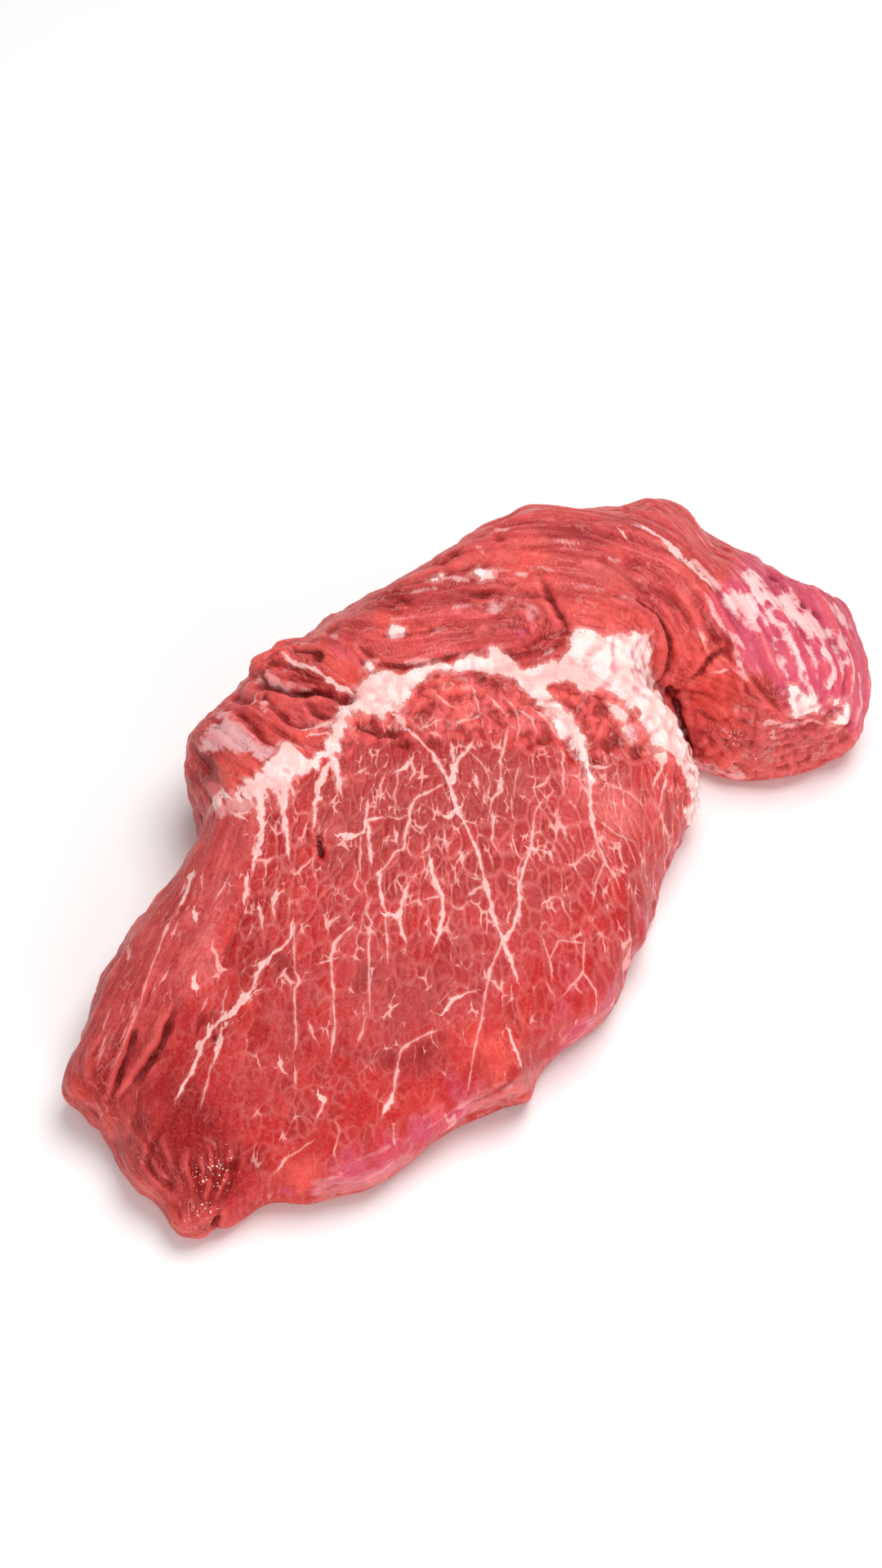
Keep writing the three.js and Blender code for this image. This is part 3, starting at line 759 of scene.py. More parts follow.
# %% Veins
VEINS = [
    (0.9, 0.7, "485,877 507,899 522,914 533,927 544,947 551,962 558,988 570,1010 585,1044 593,1077"),
    (0.7, 0.8, "593,1077 604,1122 616,1151 624,1172 633,1200"),
    (1.0, 0.9, "551,958 557,938 564,928 572,920 577,910"), (0.5, 0.7, "553,912 555,925 557,938"),
    (0.9, 0.5, "560,990 548,1002 541,999"), (0.5, 0.7, "538,962 525,970 507,978 502,990 501,1004"),
    (0.5, 0.6, "501,1004 496,1023 494,1040 483,1045 474,1059 465,1070"),
    (0.9, 0.4, "465,1070 464,1085 468,1105 474,1120"), (0.9, 0.8, "474,1120 483,1123 489,1122 492,1107"),
    (0.7, 0.4, "492,1107 497,1092 502,1079"), (0.6, 0.8, "489,1122 491,1135 496,1150"),
    (1.2, 0.8, "420,1023 436,1023 445,1018 449,1004 466,1001"), (0.7, 0.3, "449,1004 450,990 450,981"),
    (0.5, 0.3, "441,1024 441,1045 441,1070"), (0.5, 0.8, "450,1010 453,1035 455,1056"),
    (0.9, 1.0, "528,1055 530,1070 535,1088 541,1098"), (0.9, 0.5, "541,1098 542,1116 540,1137 531,1159"),
    (0.5, 0.4, "536,1098 520,1102"), (0.5, 0.4, "603,998 604,1015 603,1031 609,1042"),
    (0.9, 0.4, "618,1148 628,1138 635,1118 637,1100 635,1083 643,1059 651,1038"),
    (0.6, 0.4, "651,1038 662,1040 674,1044 677,1056"), (0.5, 0.3, "651,1036 652,1012 655,994 665,979"),
    (0.6, 0.4, "616,1153 606,1172 600,1190 595,1215"), (0.5, 0.4, "595,1215 590,1245 583,1275"),
    (0.4, 0.3, "583,1275 578,1300 573,1332"), (0.5, 0.4, "621,895 619,910 613,931 614,952"),
    (0.6, 0.4, "614,952 614,968 602,979 600,994"), (0.4, 0.4, "689,921 690,945 690,973"),
    (0.5, 0.3, "624,860 633,872 636,890 632,910"),
    (0.9, 0.4, "723,950 722,975 725,1003 732,1035"),
    (0.5, 0.3, "732,1035 741,1055 754,1077 757,1088"), (0.4, 0.3, "739,1008 752,1020 775,1030"),
    (0.3, 0.3, "741,1055 731,1077 726,1107"), (0.4, 0.3, "765,1025 772,1042 778,1060"),
    (0.3, 0.5, "665,1153 672,1172 676,1198"), (0.3, 0.3, "674,1172 684,1152 700,1153 715,1155"),
    (0.4, 0.4, "715,1157 714,1190 702,1204 690,1220"), (0.4, 0.3, "717,1195 729,1213 727,1240"),
    (0.5, 0.3, "452,1140 452,1198 453,1240"), (0.4, 0.3, "472,1127 474,1150 475,1179"),
    (1.1, 0.8, "402,935 396,950 390,965 386,985 384,1012"), (0.9, 0.7, "406,930 413,948 418,972"),
    (1.3, 1.1, "321,990 320,1020 315,1042 310,1060"), (1.1, 0.7, "303,1075 302,1090 299,1105"),
    (1.0, 0.5, "344,984 349,1010 352,1035 354,1050"), (0.8, 0.5, "337,1096 333,1112 336,1120"),
    (0.9, 0.4, "318,1112 320,1128 322,1140"),
    (0.6, 0.9, "358,1128 356,1148 345,1160 332,1169"), (0.9, 0.9, "332,1169 318,1186 313,1200 308,1212"),
    (0.8, 1.6, "308,1212 298,1222 288,1240 277,1248"), (1.9, 1.0, "277,1246 262,1258 248,1278 240,1298"),
    (1.0, 0.4, "240,1298 232,1316 222,1330 216,1345"), (1.1, 0.7, "272,1262 268,1284 262,1300"),
    (0.6, 0.4, "273,1240 274,1226 278,1214"), (0.4, 0.3, "360,1130 360,1160 361,1190"),
    (0.5, 0.4, "361,1190 366,1200 360,1216 362,1250"), (0.5, 0.4, "362,1250 363,1270 361,1286"),
    (0.4, 0.3, "361,1312 362,1326"), (0.6, 0.5, "429,1136 418,1146 409,1154 405,1174"),
    (0.5, 0.3, "405,1174 407,1202 409,1228"), (0.5, 0.6, "409,1228 410,1253 406,1289"),
    (0.5, 0.3, "404,1176 391,1180"), (0.5, 0.6, "490,1288 486,1310 482,1338"),
    (0.6, 1.0, "482,1338 476,1350 469,1364"), (0.5, 0.3, "490,1288 502,1277 515,1270 535,1262"),
    (0.9, 0.4, "545,1236 558,1222 570,1216 580,1214"), (0.5, 0.9, "622,1262 630,1285 637,1304"),
    (0.3, 0.3, "378,1400 362,1412 350,1418"), (0.4, 0.3, "350,1418 344,1428 337,1436"),
    (1.0, 0.4, "393,1342 397,1348 392,1360 388,1368"), (0.6, 0.4, "343,1300 345,1310 350,1314"),
    (0.5, 0.3, "380,1258 383,1268 388,1274"), (0.4, 0.4, "447,1248 444,1262 438,1276"),
    (0.4, 0.3, "455,1130 447,1117 455,1100"), (0.6, 0.4, "438,1070 434,1085 440,1092"),
    (0.5, 0.3, "560,1055 565,1048 568,1052"), (0.5, 0.4, "525,1028 524,1038 518,1043"),
    (0.5, 0.4, "544,1018 545,1030 547,1042"), (0.5, 0.4, "484,1018 486,1032"),
    (0.5, 0.3, "578,1075 588,1078"), (0.5, 0.4, "576,1094 585,1087 594,1084"),
    (0.8, 0.5, "504,928 498,938 487,944"), (0.5, 0.4, "503,930 507,944 502,955"),
    (0.5, 0.3, "470,951 466,962 466,975"), (0.4, 0.3, "487,945 487,960 482,975 486,985"),
    (0.5, 0.3, "440,945 448,940"), (0.4, 0.4, "478,1000 488,1003 498,998"),
    (0.7, 0.3, "582,952 586,965"), (0.4, 0.3, "576,922 590,935 600,955"),
    (0.5, 0.4, "596,942 600,958 598,975"), (0.4, 0.3, "630,968 632,950 636,938"),
    (0.4, 0.3, "626,980 627,992"), (0.5, 0.3, "660,962 667,960 672,950"),
    (0.7, 0.4, "808,985 812,965 815,948"), (0.6, 0.4, "800,960 806,945 812,930"),
    (1.0, 0.8, "235,1072 229,1092 222,1108"), (0.9, 0.7, "207,1134 200,1150 192,1170"),
    (0.7, 0.4, "192,1170 185,1186 179,1202 172,1230"), (0.9, 0.6, "162,1144 158,1158 157,1172"),
    (0.9, 0.5, "239,1118 240,1130"), (0.5, 0.3, "276,1082 270,1092 264,1102"),
    (0.4, 0.2, "188,1210 183,1222"), (0.4, 0.3, "132,1240 128,1252 124,1262"),
    (0.4, 0.3, "128,1272 124,1285 120,1298"), (0.4, 0.2, "150,1230 146,1242"),
    (0.4, 0.3, "167,1240 158,1262 148,1285"), (0.4, 0.2, "252,1226 247,1238"),
    (0.4, 0.3, "258,1306 252,1330 246,1355"), (0.5, 0.3, "120,1352 126,1362 122,1372"),
]
STREAKS = [
    (0.9, 1.9, "800,651 808,656 818,664 826,672 832,680"), (1.9, 1.2, "845,690 853,697 862,706 872,716"),
    (0.8, 1.0, "788,643 798,649 806,655"), (0.8, 0.6, "832,676 839,684"), (0.9, 0.7, "764,649 770,656"),
    (0.8, 0.8, "345,803 360,811 375,816 390,822 401,831"), (1.0, 0.7, "401,831 410,838 425,846 436,850"),
    (0.7, 0.6, "373,892 388,888 405,885"), (0.6, 0.5, "384,899 400,896"),
    (0.8, 0.7, "296,1002 288,998 300,996"),
    (0.6, 0.6, "857,776 861,785 865,796"), (0.6, 0.5, "880,822 890,820"),
    (0.8, 0.6, "727,937 738,940 744,938"),
    (0.6, 0.5, "800,905 806,915"), (0.5, 0.5, "580,845 584,860 587,872"),
    (0.5, 0.4, "604,858 612,866 622,878"),
    (0.5, 0.5, "536,852 548,862 558,868"), (0.6, 0.5, "660,874 672,884 678,896"),
    (0.5, 0.4, "520,890 536,884"),
    (0.5, 0.4, "566,884 580,880 590,872"), (0.5, 0.5, "640,872 652,880 656,894"),
    (0.5, 0.4, "126,1258 128,1248"), (0.5, 0.4, "123,1294 127,1282"), (0.5, 0.4, "141,1300 147,1288"),
    (0.9, 0.6, "157,1173 161,1160"), (0.8, 0.6, "200,1198 206,1188"),
    (1.0, 0.6, "239,1210 236,1199 240,1191"),
    (0.5, 0.4, "162,1243 166,1230"), (0.5, 0.4, "247,1084 248,1073"), (0.6, 0.4, "222,1092 227,1079"),
    (0.7, 0.5, "213,1144 219,1129"), (0.5, 0.4, "150,1270 154,1259"),
]
VEIL_SHEETS = [
    (0.2, "560,1345 610,1330 655,1305 700,1275 740,1235 775,1190 800,1140 812,1150 790,1200 750,1255 "
     "705,1300 650,1335 600,1360 565,1365"),
    (0.22, "385,1450 430,1440 480,1425 530,1400 570,1370 575,1385 530,1415 480,1445 420,1462 385,1465"),
    (0.9, "885,733 893,726 904,723 913,729 920,727 927,738 930,752 926,758 918,756 908,748 "
     "898,742 888,742"),
    (0.95, "913,701 919,698 926,702 931,712 934,725 938,737 932,742 926,736 921,722 915,712"),
    (0.85, "931,716 938,722 950,726 960,724 968,722 975,730 979,740 990,748 1000,757 1010,768 1019,775 "
     "1016,781 1003,779 990,779 984,774 976,764 966,758 960,748 955,742 948,745 943,740 934,736 927,730"),
    (0.8, "936,752 943,748 952,757 963,764 966,773 957,770 948,766 938,764"),
    (0.8, "1018,780 1028,773 1036,784 1037,796 1024,796"), (0.85, "1025,810 1040,803 1036,815 1032,823"),
    (0.75, "843,690 850,686 860,692 872,703 884,714 880,722 867,721 861,713 850,701"),
    (0.7, "851,775 858,772 864,784 866,797 860,797 855,786"),
    (0.8, "243,919 250,905 256,890 265,884 280,878 292,880 303,890 315,903 330,911 342,915 346,921 "
     "338,928 330,931 320,935 312,929 305,922 290,919 270,918 255,921"),
    (0.7, "316,835 319,824 326,822 334,829 345,836 356,839 368,840 377,843 371,848 362,846 350,843 "
     "338,841 326,840"),
    (0.85, "311,860 318,853 325,862 333,873 326,876 318,868"),
    (0.7, "263,877 272,872 281,872 278,879 266,881"),
    (0.7, "376,887 390,884 406,882 404,890 388,892"),
    (0.5, "262,985 280,975 300,974 316,985 300,995 270,1000"),
    (0.6, "1010,733 1022,742 1036,757 1040,768 1028,758 1016,746"),
    (0.4, "640,740 652,738 658,752 650,762 642,755"),
    (0.6, "596,748 604,739 616,737 628,736 614,744 604,752"),
    (0.5, "340,950 352,945 370,945 378,950 360,962 352,985 346,985 343,968"),
    (0.6, "845,925 860,932 880,941 900,950 885,949 862,942 848,934"),
    (0.7, "896,943 912,948 914,956 900,955"),
]
VEIL_LINES = [
    (1.3, .9, "959,766 968,786 977,808 986,830 997,851"), (1.0, .8, "946,786 955,804 964,826 973,846"),
    (0.7, .7, "986,777 997,804 1000,817"), (1.3, .9, "1004,786 1013,804 1017,822 1015,842"),
    (0.6, .7, "946,781 960,784"), (0.5, .6, "921,770 932,770"), (0.8, .7, "924,712 930,728 934,742"),
    (0.9, .8, "862,722 870,740 876,757 886,768 900,781 911,791"), (0.9, .7, "900,796 905,810 912,829"),
    (0.9, .8, "933,887 944,883 955,889 970,891 985,886 991,882"), (1.4, .8, "940,886 946,884"),
    (0.7, .7, "946,892 948,905 946,924"), (0.6, .6, "1012,887 1000,884 990,882"),
    (0.8, .8, "770,638 790,646 806,654 816,662"), (0.7, .6, "832,676 845,690"),
    (0.7, .6, "1040,806 1043,825 1041,850"), (0.6, .6, "905,757 914,764 925,766"),
    (0.5, .6, "895,745 905,756"), (0.9, .5, "1050,826 1052,860 1043,895"),
    (0.6, .6, "879,884 890,890 898,903"),
    (0.5, .5, "890,815 884,823"), (0.5, .7, "348,821 354,816 363,814"),
    (0.6, .6, "366,793 374,787 383,785"),
    (0.5, .6, "255,890 262,887 275,890"), (0.6, .5, "335,915 350,905 358,904"),
    (0.5, .6, "376,928 388,932 400,930"), (0.5, .5, "320,960 340,962 352,957"),
    (0.6, .6, "402,778 416,781"),
    (0.6, .7, "586,671 593,677"), (0.7, .7, "606,646 620,648 634,653"),
    (0.5, .6, "673,664 690,665 708,668"),
    (0.5, .5, "745,683 757,687"), (0.5, .6, "755,730 768,732"), (0.5, .5, "772,703 787,708"),
    (0.7, .7, "607,701 620,700 645,704"), (0.6, .7, "541,704 558,709 574,711"),
    (0.5, .6, "480,759 495,757 508,752"), (0.5, .6, "527,778 536,771 547,768"),
    (0.6, .7, "665,802 677,796"), (0.5, .6, "545,796 556,790"), (0.5, .5, "556,745 572,742 590,744"),
    (0.5, .5, "500,728 515,722 532,720"), (0.4, .5, "640,690 660,694 684,700"),
    (0.4, .5, "700,716 722,717 740,722"), (0.5, .5, "620,620 640,622 660,620"),
    (0.4, .5, "850,640 862,652 872,668"), (0.5, .6, "1024,921 1034,915"), (0.6, .6, "937,952 952,953"),
    (0.5, .6, "497,812 512,809 528,806"), (0.4, .5, "440,760 452,768 466,772"),
]
LEFT_OF_FACE = 225
GROUPS = 6
ROOM = 6.0
VEIN_REACH = 3.4
STEEP = 12
DEEP_INSIDE = 5

vein_groups = [[] for group in range(GROUPS)]
vein_away = np.full((GROUPS, count), VEIN_REACH)
vein_half = np.zeros((GROUPS, count))
shared = 0
vein_white = np.zeros((GROUPS, count))
for start_half, end_half, text in VEINS + STREAKS:
    path = trace(text)
    if pixel_list(text)[:, 0].mean() < LEFT_OF_FACE:
        start_half, end_half = 0.6 * start_half, 0.6 * end_half
    white = 0.62 + 0.38 * ease(0.35, 1.0, max(start_half, end_half))
    dense = np.concatenate([np.linspace(a, b, 6) for a, b in zip(path[:-1], path[1:])])
    gaps = []
    for members in vein_groups:
        others = np.concatenate(members) if members else np.full((1, 3), 1e6)
        gaps.append(np.linalg.norm(dense[:, None] - others[None], axis=2).min())
    roomy = [group for group in range(GROUPS) if gaps[group] > ROOM]
    group = roomy[0] if roomy else int(np.argmax(gaps))
    shared += not roomy
    vein_groups[group].append(dense)
    index, distance, side, share = near(path, VEIN_REACH)
    own = distance < np.abs(vein_away[group, index])
    index, distance, side, share = index[own], distance[own], side[own], share[own]
    vein_away[group, index] = distance * side
    half = (start_half + (end_half - start_half) * share) * (1 - 0.5 * ease(0.75, 1, share))
    vein_half[group, index] = half * ease(VEIN_REACH, VEIN_REACH - 0.8, distance)
    vein_white[group, index] = white
veil_depth, veil = np.full(count, -PATCH_REACH), np.zeros(count)
for strength, outline in VEIL_SHEETS:
    depth = inside_of(outline)
    veil_depth = np.maximum(veil_depth, depth)
    veil = np.maximum(veil, strength * ease(-2.5, -1.0, depth))
for half, strength, path_text in VEIL_LINES:
    index, distance, side, share = near(trace(path_text), half + 4)
    fade = np.clip(np.sin(np.pi * np.clip(share, 0.03, 0.97)), 0, 1) ** 0.5
    veil_depth[index] = np.maximum(veil_depth[index], 1.5 * (half * fade - distance))
    veil[index] = np.maximum(veil[index], strength * ease(half + 3, half + 1, distance))
behind_film = np.clip(STEEP * (rough(rest, 26, 301, 2) - 0.7), -PATCH_REACH, DEEP_INSIDE)
veil_depth = np.where(hidden > 0.5, np.maximum(veil_depth, behind_film), veil_depth)
veil = np.maximum(veil, 0.65 * hidden)
strandy = ease(440, 385, seen_at[:, 0]) * ease(-3, 0, fat_depth)
fat_depth = fat_depth + strandy * (0.9 * fine_streaks - 0.5)
fat_depth *= 1 + 1.6 * ease(795, 812, seen_at[:, 0]) * ease(870, 900, seen_at[:, 1])
thin_fat = ease(540, 430, seen_at[:, 0]) * (0.6 + 0.4 * np.clip(strands, -1, 1))
behind_fat = rough(rest, 20, 307, 2) + 0.1 * fine_streaks - 1.0
behind_fat = np.clip(STEEP * behind_fat, -PATCH_REACH, DEEP_INSIDE)
fat_depth = np.where(hidden > 0.7, np.maximum(fat_depth, behind_fat), fat_depth)
print(len(VEINS), "veins and", len(STREAKS), "streaks,", shared, "of them in a shared group")

# %% [markdown]
# ## Moving the points
# All relief is now one number for each point: how far it moves out along its own normal. One light
# round of smoothing afterwards takes the stair steps out of the steepest creases. A copy that is
# smoothed much more tells hollows from ridges, and the shader paints shade into the hollows and
# light onto the ridges. The underside keeps its place, and its many small squares become one flat
# face, because nothing shows there.

# %% Displace and finish the mesh
DEEPEST, HIGHEST = -7, 4.5
SOFTEN = 0.35
BLUR, BLUR_TURNS = 0.8, 7
links = np.bincount(edges.ravel(), minlength=count)


def among_neighbours(points):
    """For each point, the middle of the points that share an edge with it."""
    total = np.zeros_like(points)
    for axis in range(3):
        total[:, axis] = (np.bincount(edges[:, 0], points[edges[:, 1], axis], count)
                          + np.bincount(edges[:, 1], points[edges[:, 0], axis], count))
    return total / links[:, None]


relief *= ease(0.4, 3.5, rest[:, 2])
relief = np.clip(relief, DEEPEST, HIGHEST)
moved = rest + normals * relief[:, None]
moved += SOFTEN * free[:, None] * (among_neighbours(moved) - moved)
moved[:, 2] = np.maximum(moved[:, 2], 0)
moved[rest[:, 2] < 0.02, 2] = 0
skin_mesh.vertices.foreach_set("co", (moved * MM).ravel())

blurred = moved.copy()
for _ in range(BLUR_TURNS):
    blurred += BLUR * (among_neighbours(blurred) - blurred)
cavity = ((blurred - moved) * normals).sum(1)
print("hollows and ridges reach", round(cavity.max(), 2), "and", round(cavity.min(), 2), "mm")

marks = {"face": face, "net": net_strength, "veil": veil, "veil_depth": veil_depth, "glint_spots": glint_spots,
         "puff": puffs, "fat_depth": fat_depth, "torn": torn_all, "torn_gap": torn_gap, "film": lobe_film,
         "dark_and_shade": dark_and_shade, "brown": brown, "bright": bright, "pink": pink, "pale": pale,
         "crease": depth_of, "cavity": cavity, "streak": fine_streaks, "strand": strands,
         "wrinkled": wrinkled, "bundle": bundles, "thin_fat": thin_fat}
for name, values in marks.items():
    skin_mesh.attributes.new(name, "FLOAT", "POINT").data.foreach_set("value", values)
for group in range(GROUPS):
    packed = np.stack([vein_away[group], vein_half[group], vein_white[group]], axis=1)
    vein_mark = skin_mesh.attributes.new("vein" + str(group), "FLOAT_VECTOR", "POINT")
    vein_mark.data.foreach_set("vector", packed.ravel())

shape = bmesh.new()
shape.from_mesh(skin_mesh)
flat = [f for f in shape.faces if all(v.co.z < 1e-6 for v in f.verts)]
bmesh.ops.dissolve_faces(shape, faces=flat, use_verts=True)
under = [f for f in shape.faces if len(f.verts) > 4]
bmesh.ops.triangulate(shape, faces=under)
shape.to_mesh(skin_mesh)
shape.free()
for polygon in skin_mesh.polygons:
    polygon.use_smooth = True
triangles = sum(len(polygon.vertices) - 2 for polygon in skin_mesh.polygons)
print("the roast has", triangles, "triangles")

# %% [markdown]
# ## Colour and nodes
# Colours are written as they look on a screen, and one function turns them into the linear values
# that light works with. A second one adds a node, with its settings and whatever feeds it.

# %% Helpers for materials


def linear(text):
    """A screen colour such as #DC5756 as linear red, green, blue and alpha."""
    parts = [int(text[at:at + 2], 16) / 255 for at in (1, 3, 5)]
    return [part / 12.92 if part <= 0.04045 else ((part + 0.055) / 1.055) ** 2.4 for part in parts] + [1]


def add(nodes, kind, feeds=(), out=0, **settings):
    """Adds a node, sets it, feeds its inputs from values or sockets, and returns one output."""
    node = nodes.new(kind)
    for name, value in settings.items():
        setattr(node, name, value)
    for name, value in dict(feeds).items():
        if isinstance(value, bpy.types.NodeSocket):
            node.id_data.links.new(value, node.inputs[name])
        else:
            node.inputs[name].default_value = value
    return node.outputs[out]


# %% [markdown]
# ## Raw beef
# Beef muscle is about three quarters water, so light enters it, scatters red and leaves again, and
# a wet film gives it a soft gloss. Its refractive index is near that of water, about 1.38. The
# material is built up as the meat is: red muscle, the net of white connective tissue round its
# bundles, patches of other reds, thin pink film, and opaque white fat on top.

# %% Muscle: the base red and its cells
MUSCLE, CUT, DEEP, RUST, FRESH = "#D24E4C", "#BC1F1E", "#80060A", "#A63735", "#F0584C"
FILM, PALE_MUSCLE, PALE_FIBRE = "#CE4F72", "#E9625E", "#F3807B"
FAT, FAT_PINK, FAT_CREAM = "#F8E0DC", "#EFA09A", "#F8D2B8"
WALL, NET, VEIN = "#F4938C", "#F3A8A2", "#F8C6C0"
# The second colour in the next row is for painted highlights, the third for painted shade with dark wet meat
# in creases.
VEIL, GLINT, CREVICE_SHADE = "#F5BCBD", "#FFD9C8", "#4C0306"
CELL_WIDE, CELL_LONG = 5.4, 9.5
FINE_WIDE, FINE_LONG = 2.8, 5.0
FAN_CENTRE = (200, 164)
FAN_RADIUS = 336

beef = bpy.data.materials.new("raw_beef_muscle_cut_and_torn")
beef.use_nodes = True
nodes = beef.node_tree.nodes
nodes.clear()
mark = {name: add(nodes, "ShaderNodeAttribute", out="Fac", attribute_name=name) for name in marks}
place = add(nodes, "ShaderNodeTexCoord", out="Object")

# The fibres of the face spread like a fan, so the cells are laid out round a far centre.
offset = add(nodes, "ShaderNodeVectorMath", {0: place, 1: (FAN_CENTRE[0] * MM, FAN_CENTRE[1] * MM, 0)},
             operation="SUBTRACT")
split = add(nodes, "ShaderNodeSeparateXYZ", {0: offset}).node
flat_offset = add(nodes, "ShaderNodeCombineXYZ", {0: split.outputs[0], 1: split.outputs[1]})
radius = add(nodes, "ShaderNodeVectorMath", {0: flat_offset}, out="Value", operation="LENGTH")
angle = add(nodes, "ShaderNodeMath", {0: split.outputs[1], 1: split.outputs[0]}, operation="ARCTAN2")
angle = add(nodes, "ShaderNodeMath", {0: angle, 1: math.pi}, operation="ADD")
angle = add(nodes, "ShaderNodeMath", {0: angle, 1: 2 * math.pi}, operation="FLOORED_MODULO")
across = add(nodes, "ShaderNodeMath", {0: angle, 1: FAN_RADIUS * MM}, operation="MULTIPLY")
fan = add(nodes, "ShaderNodeCombineXYZ", {0: across, 1: radius, 2: split.outputs[2]})
warp = add(nodes, "ShaderNodeTexNoise", {"Vector": place, "Scale": 1 / (9 * MM), "Detail": 2}, out="Color")
warp = add(nodes, "ShaderNodeVectorMath", {0: warp, 1: (0.5, 0.5, 0.5)}, operation="SUBTRACT")
warp = add(nodes, "ShaderNodeVectorMath", {0: warp, "Scale": 6.0 * MM}, operation="SCALE")
fan = add(nodes, "ShaderNodeVectorMath", {0: fan, 1: warp}, operation="ADD")

cell_edge, cell_tint, cell_corner = [], [], []
for wide, long in ((CELL_WIDE, CELL_LONG), (FINE_WIDE, FINE_LONG)):
    per_cell = (1 / (wide * MM), 1 / (long * MM), 1 / (wide * 1.3 * MM))
    scaled = add(nodes, "ShaderNodeVectorMath", {0: fan, 1: per_cell}, operation="MULTIPLY")
    edge = add(nodes, "ShaderNodeTexVoronoi", {"Vector": scaled, "Scale": 1},
               feature="DISTANCE_TO_EDGE", voronoi_dimensions="2D")
    cell_edge.append(add(nodes, "ShaderNodeMath", {0: edge, 1: wide}, operation="MULTIPLY"))
    cell_tint.append(add(nodes, "ShaderNodeTexVoronoi", {"Vector": scaled, "Scale": 1}, out="Color",
                         voronoi_dimensions="2D"))
    cell_corner.append(cell_tint[-1].node.outputs["Distance"])

noises = {}
for name, size, detail in (("broad", 26, 2), ("patchy", 9, 3), ("bead", 5.0, 2), ("small", 3.2, 3),
                           ("grain", 1.0, 2)):
    noises[name] = add(nodes, "ShaderNodeTexNoise",
                       {"Vector": place, "Scale": 1 / (size * MM), "Detail": detail}, out="Fac")
print("the beef's cells measure", CELL_WIDE, "by", CELL_LONG, "mm")

# %% [markdown]
# The net of fat is drawn twice: thin white walls round the large cells, broken where a noise is
# low, and fainter ones round the small cells. Both swell into knots at the cells' corners. Each
# mask is a number from 0 to 1.

# %% Masks for the white net, the veins and the fat
def blend_of(value, low, high, **more):
    """A mask that rises from 0 at low to 1 at high."""
    feeds = {"Value": value, "From Min": low, "From Max": high}
    feeds.update(more)
    return add(nodes, "ShaderNodeMapRange", feeds, interpolation_type="SMOOTHSTEP")


def maths(operation, first, second, third=0.0, **settings):
    return add(nodes, "ShaderNodeMath", {0: first, 1: second, 2: third}, operation=operation, **settings)


net = []
for edge, corner, widths, strength in ((cell_edge[0], cell_corner[0], (-0.72, 0.10), 0.95),
                                       (cell_edge[1], cell_corner[1], (-0.70, -0.12), 0.85)):
    width = add(nodes, "ShaderNodeMapRange", {"Value": noises["patchy"], "From Min": 0.40,
                "From Max": 0.66, "To Min": widths[0], "To Max": widths[1]})
    knot = add(nodes, "ShaderNodeMapRange", {"Value": corner, "From Min": 0.52, "From Max": 0.80,
               "To Min": 0.0, "To Max": 0.58})
    width = maths("ADD", width, knot)
    width = maths("MULTIPLY_ADD", maths("SUBTRACT", noises["bead"], 0.5), 1.8, width)
    width = maths("MULTIPLY_ADD", maths("SUBTRACT", mark["net"], 1.0), 0.45, width)
    net.append(maths("MULTIPLY", blend_of(maths("SUBTRACT", width, edge), -0.30, 0.24), strength))
net_all = maths("MAXIMUM", net[0], net[1])
net_white = maths("MULTIPLY", net_all, blend_of(mark["net"], 0.02, 0.2))
rim = maths("MULTIPLY", blend_of(cell_edge[0], 1.2, 0.0), mark["net"])
fine_rim = maths("MULTIPLY", blend_of(cell_edge[1], 0.7, 0.0), mark["face"])
fine_rim = maths("MULTIPLY", fine_rim, blend_of(noises["patchy"], 0.38, 0.6))

wobble = add(nodes, "ShaderNodeMapRange", {"Value": noises["small"], "From Min": 0.25, "From Max": 0.75,
             "To Min": -0.9, "To Max": 0.9})
ragged = add(nodes, "ShaderNodeMapRange", {"Value": noises["bead"], "From Min": 0.32, "From Max": 0.68,
             "To Min": 0.3, "To Max": 1.45})
vein_mask, vein_halo = None, None
for group in range(GROUPS):
    packed = add(nodes, "ShaderNodeAttribute", out="Vector", attribute_name="vein" + str(group))
    parts = add(nodes, "ShaderNodeSeparateXYZ", {0: packed}).node
    half = maths("MULTIPLY", parts.outputs[1], ragged)
    gap = maths("ABSOLUTE", maths("MULTIPLY_ADD", wobble, half, parts.outputs[0]), 0.0)
    inside = maths("SUBTRACT", half, gap)
    has_vein = maths("MULTIPLY", blend_of(parts.outputs[1], 0.0, 0.25), parts.outputs[2])
    line = maths("MULTIPLY", blend_of(inside, -0.36, 0.44), has_vein)
    halo = maths("MULTIPLY", blend_of(inside, -1.3, 0.1), has_vein)
    vein_mask = line if vein_mask is None else maths("MAXIMUM", vein_mask, line)
    vein_halo = halo if vein_halo is None else maths("MAXIMUM", vein_halo, halo)

# Both sheets, fat and film, know how deep a point lies inside them; noise in that depth frays the edge.
frays = maths("MULTIPLY", maths("SUBTRACT", noises["bead"], 0.5), 4.5)
frays = maths("MULTIPLY_ADD", maths("SUBTRACT", noises["small"], 0.5), 4.0, frays)
frays = maths("MULTIPLY_ADD", maths("SUBTRACT", noises["grain"], 0.5), 2.0, frays)
fat_inside = maths("ADD", mark["fat_depth"], frays)
fat_inside = maths("MULTIPLY_ADD", mark["streak"], 0.25, fat_inside)
fat_mask = blend_of(fat_inside, -0.15, 0.45)
fat_halo = blend_of(fat_inside, -2.2, 0.3)
veil_inside = maths("MULTIPLY_ADD", frays, 1.0, mark["veil_depth"])
veil_inside = maths("MULTIPLY_ADD", mark["streak"], 0.75, veil_inside)
veil_mask = maths("MULTIPLY", blend_of(veil_inside, -1.0, 1.5), mark["veil"])
print(GROUPS, "groups of veins feed the fat mask")
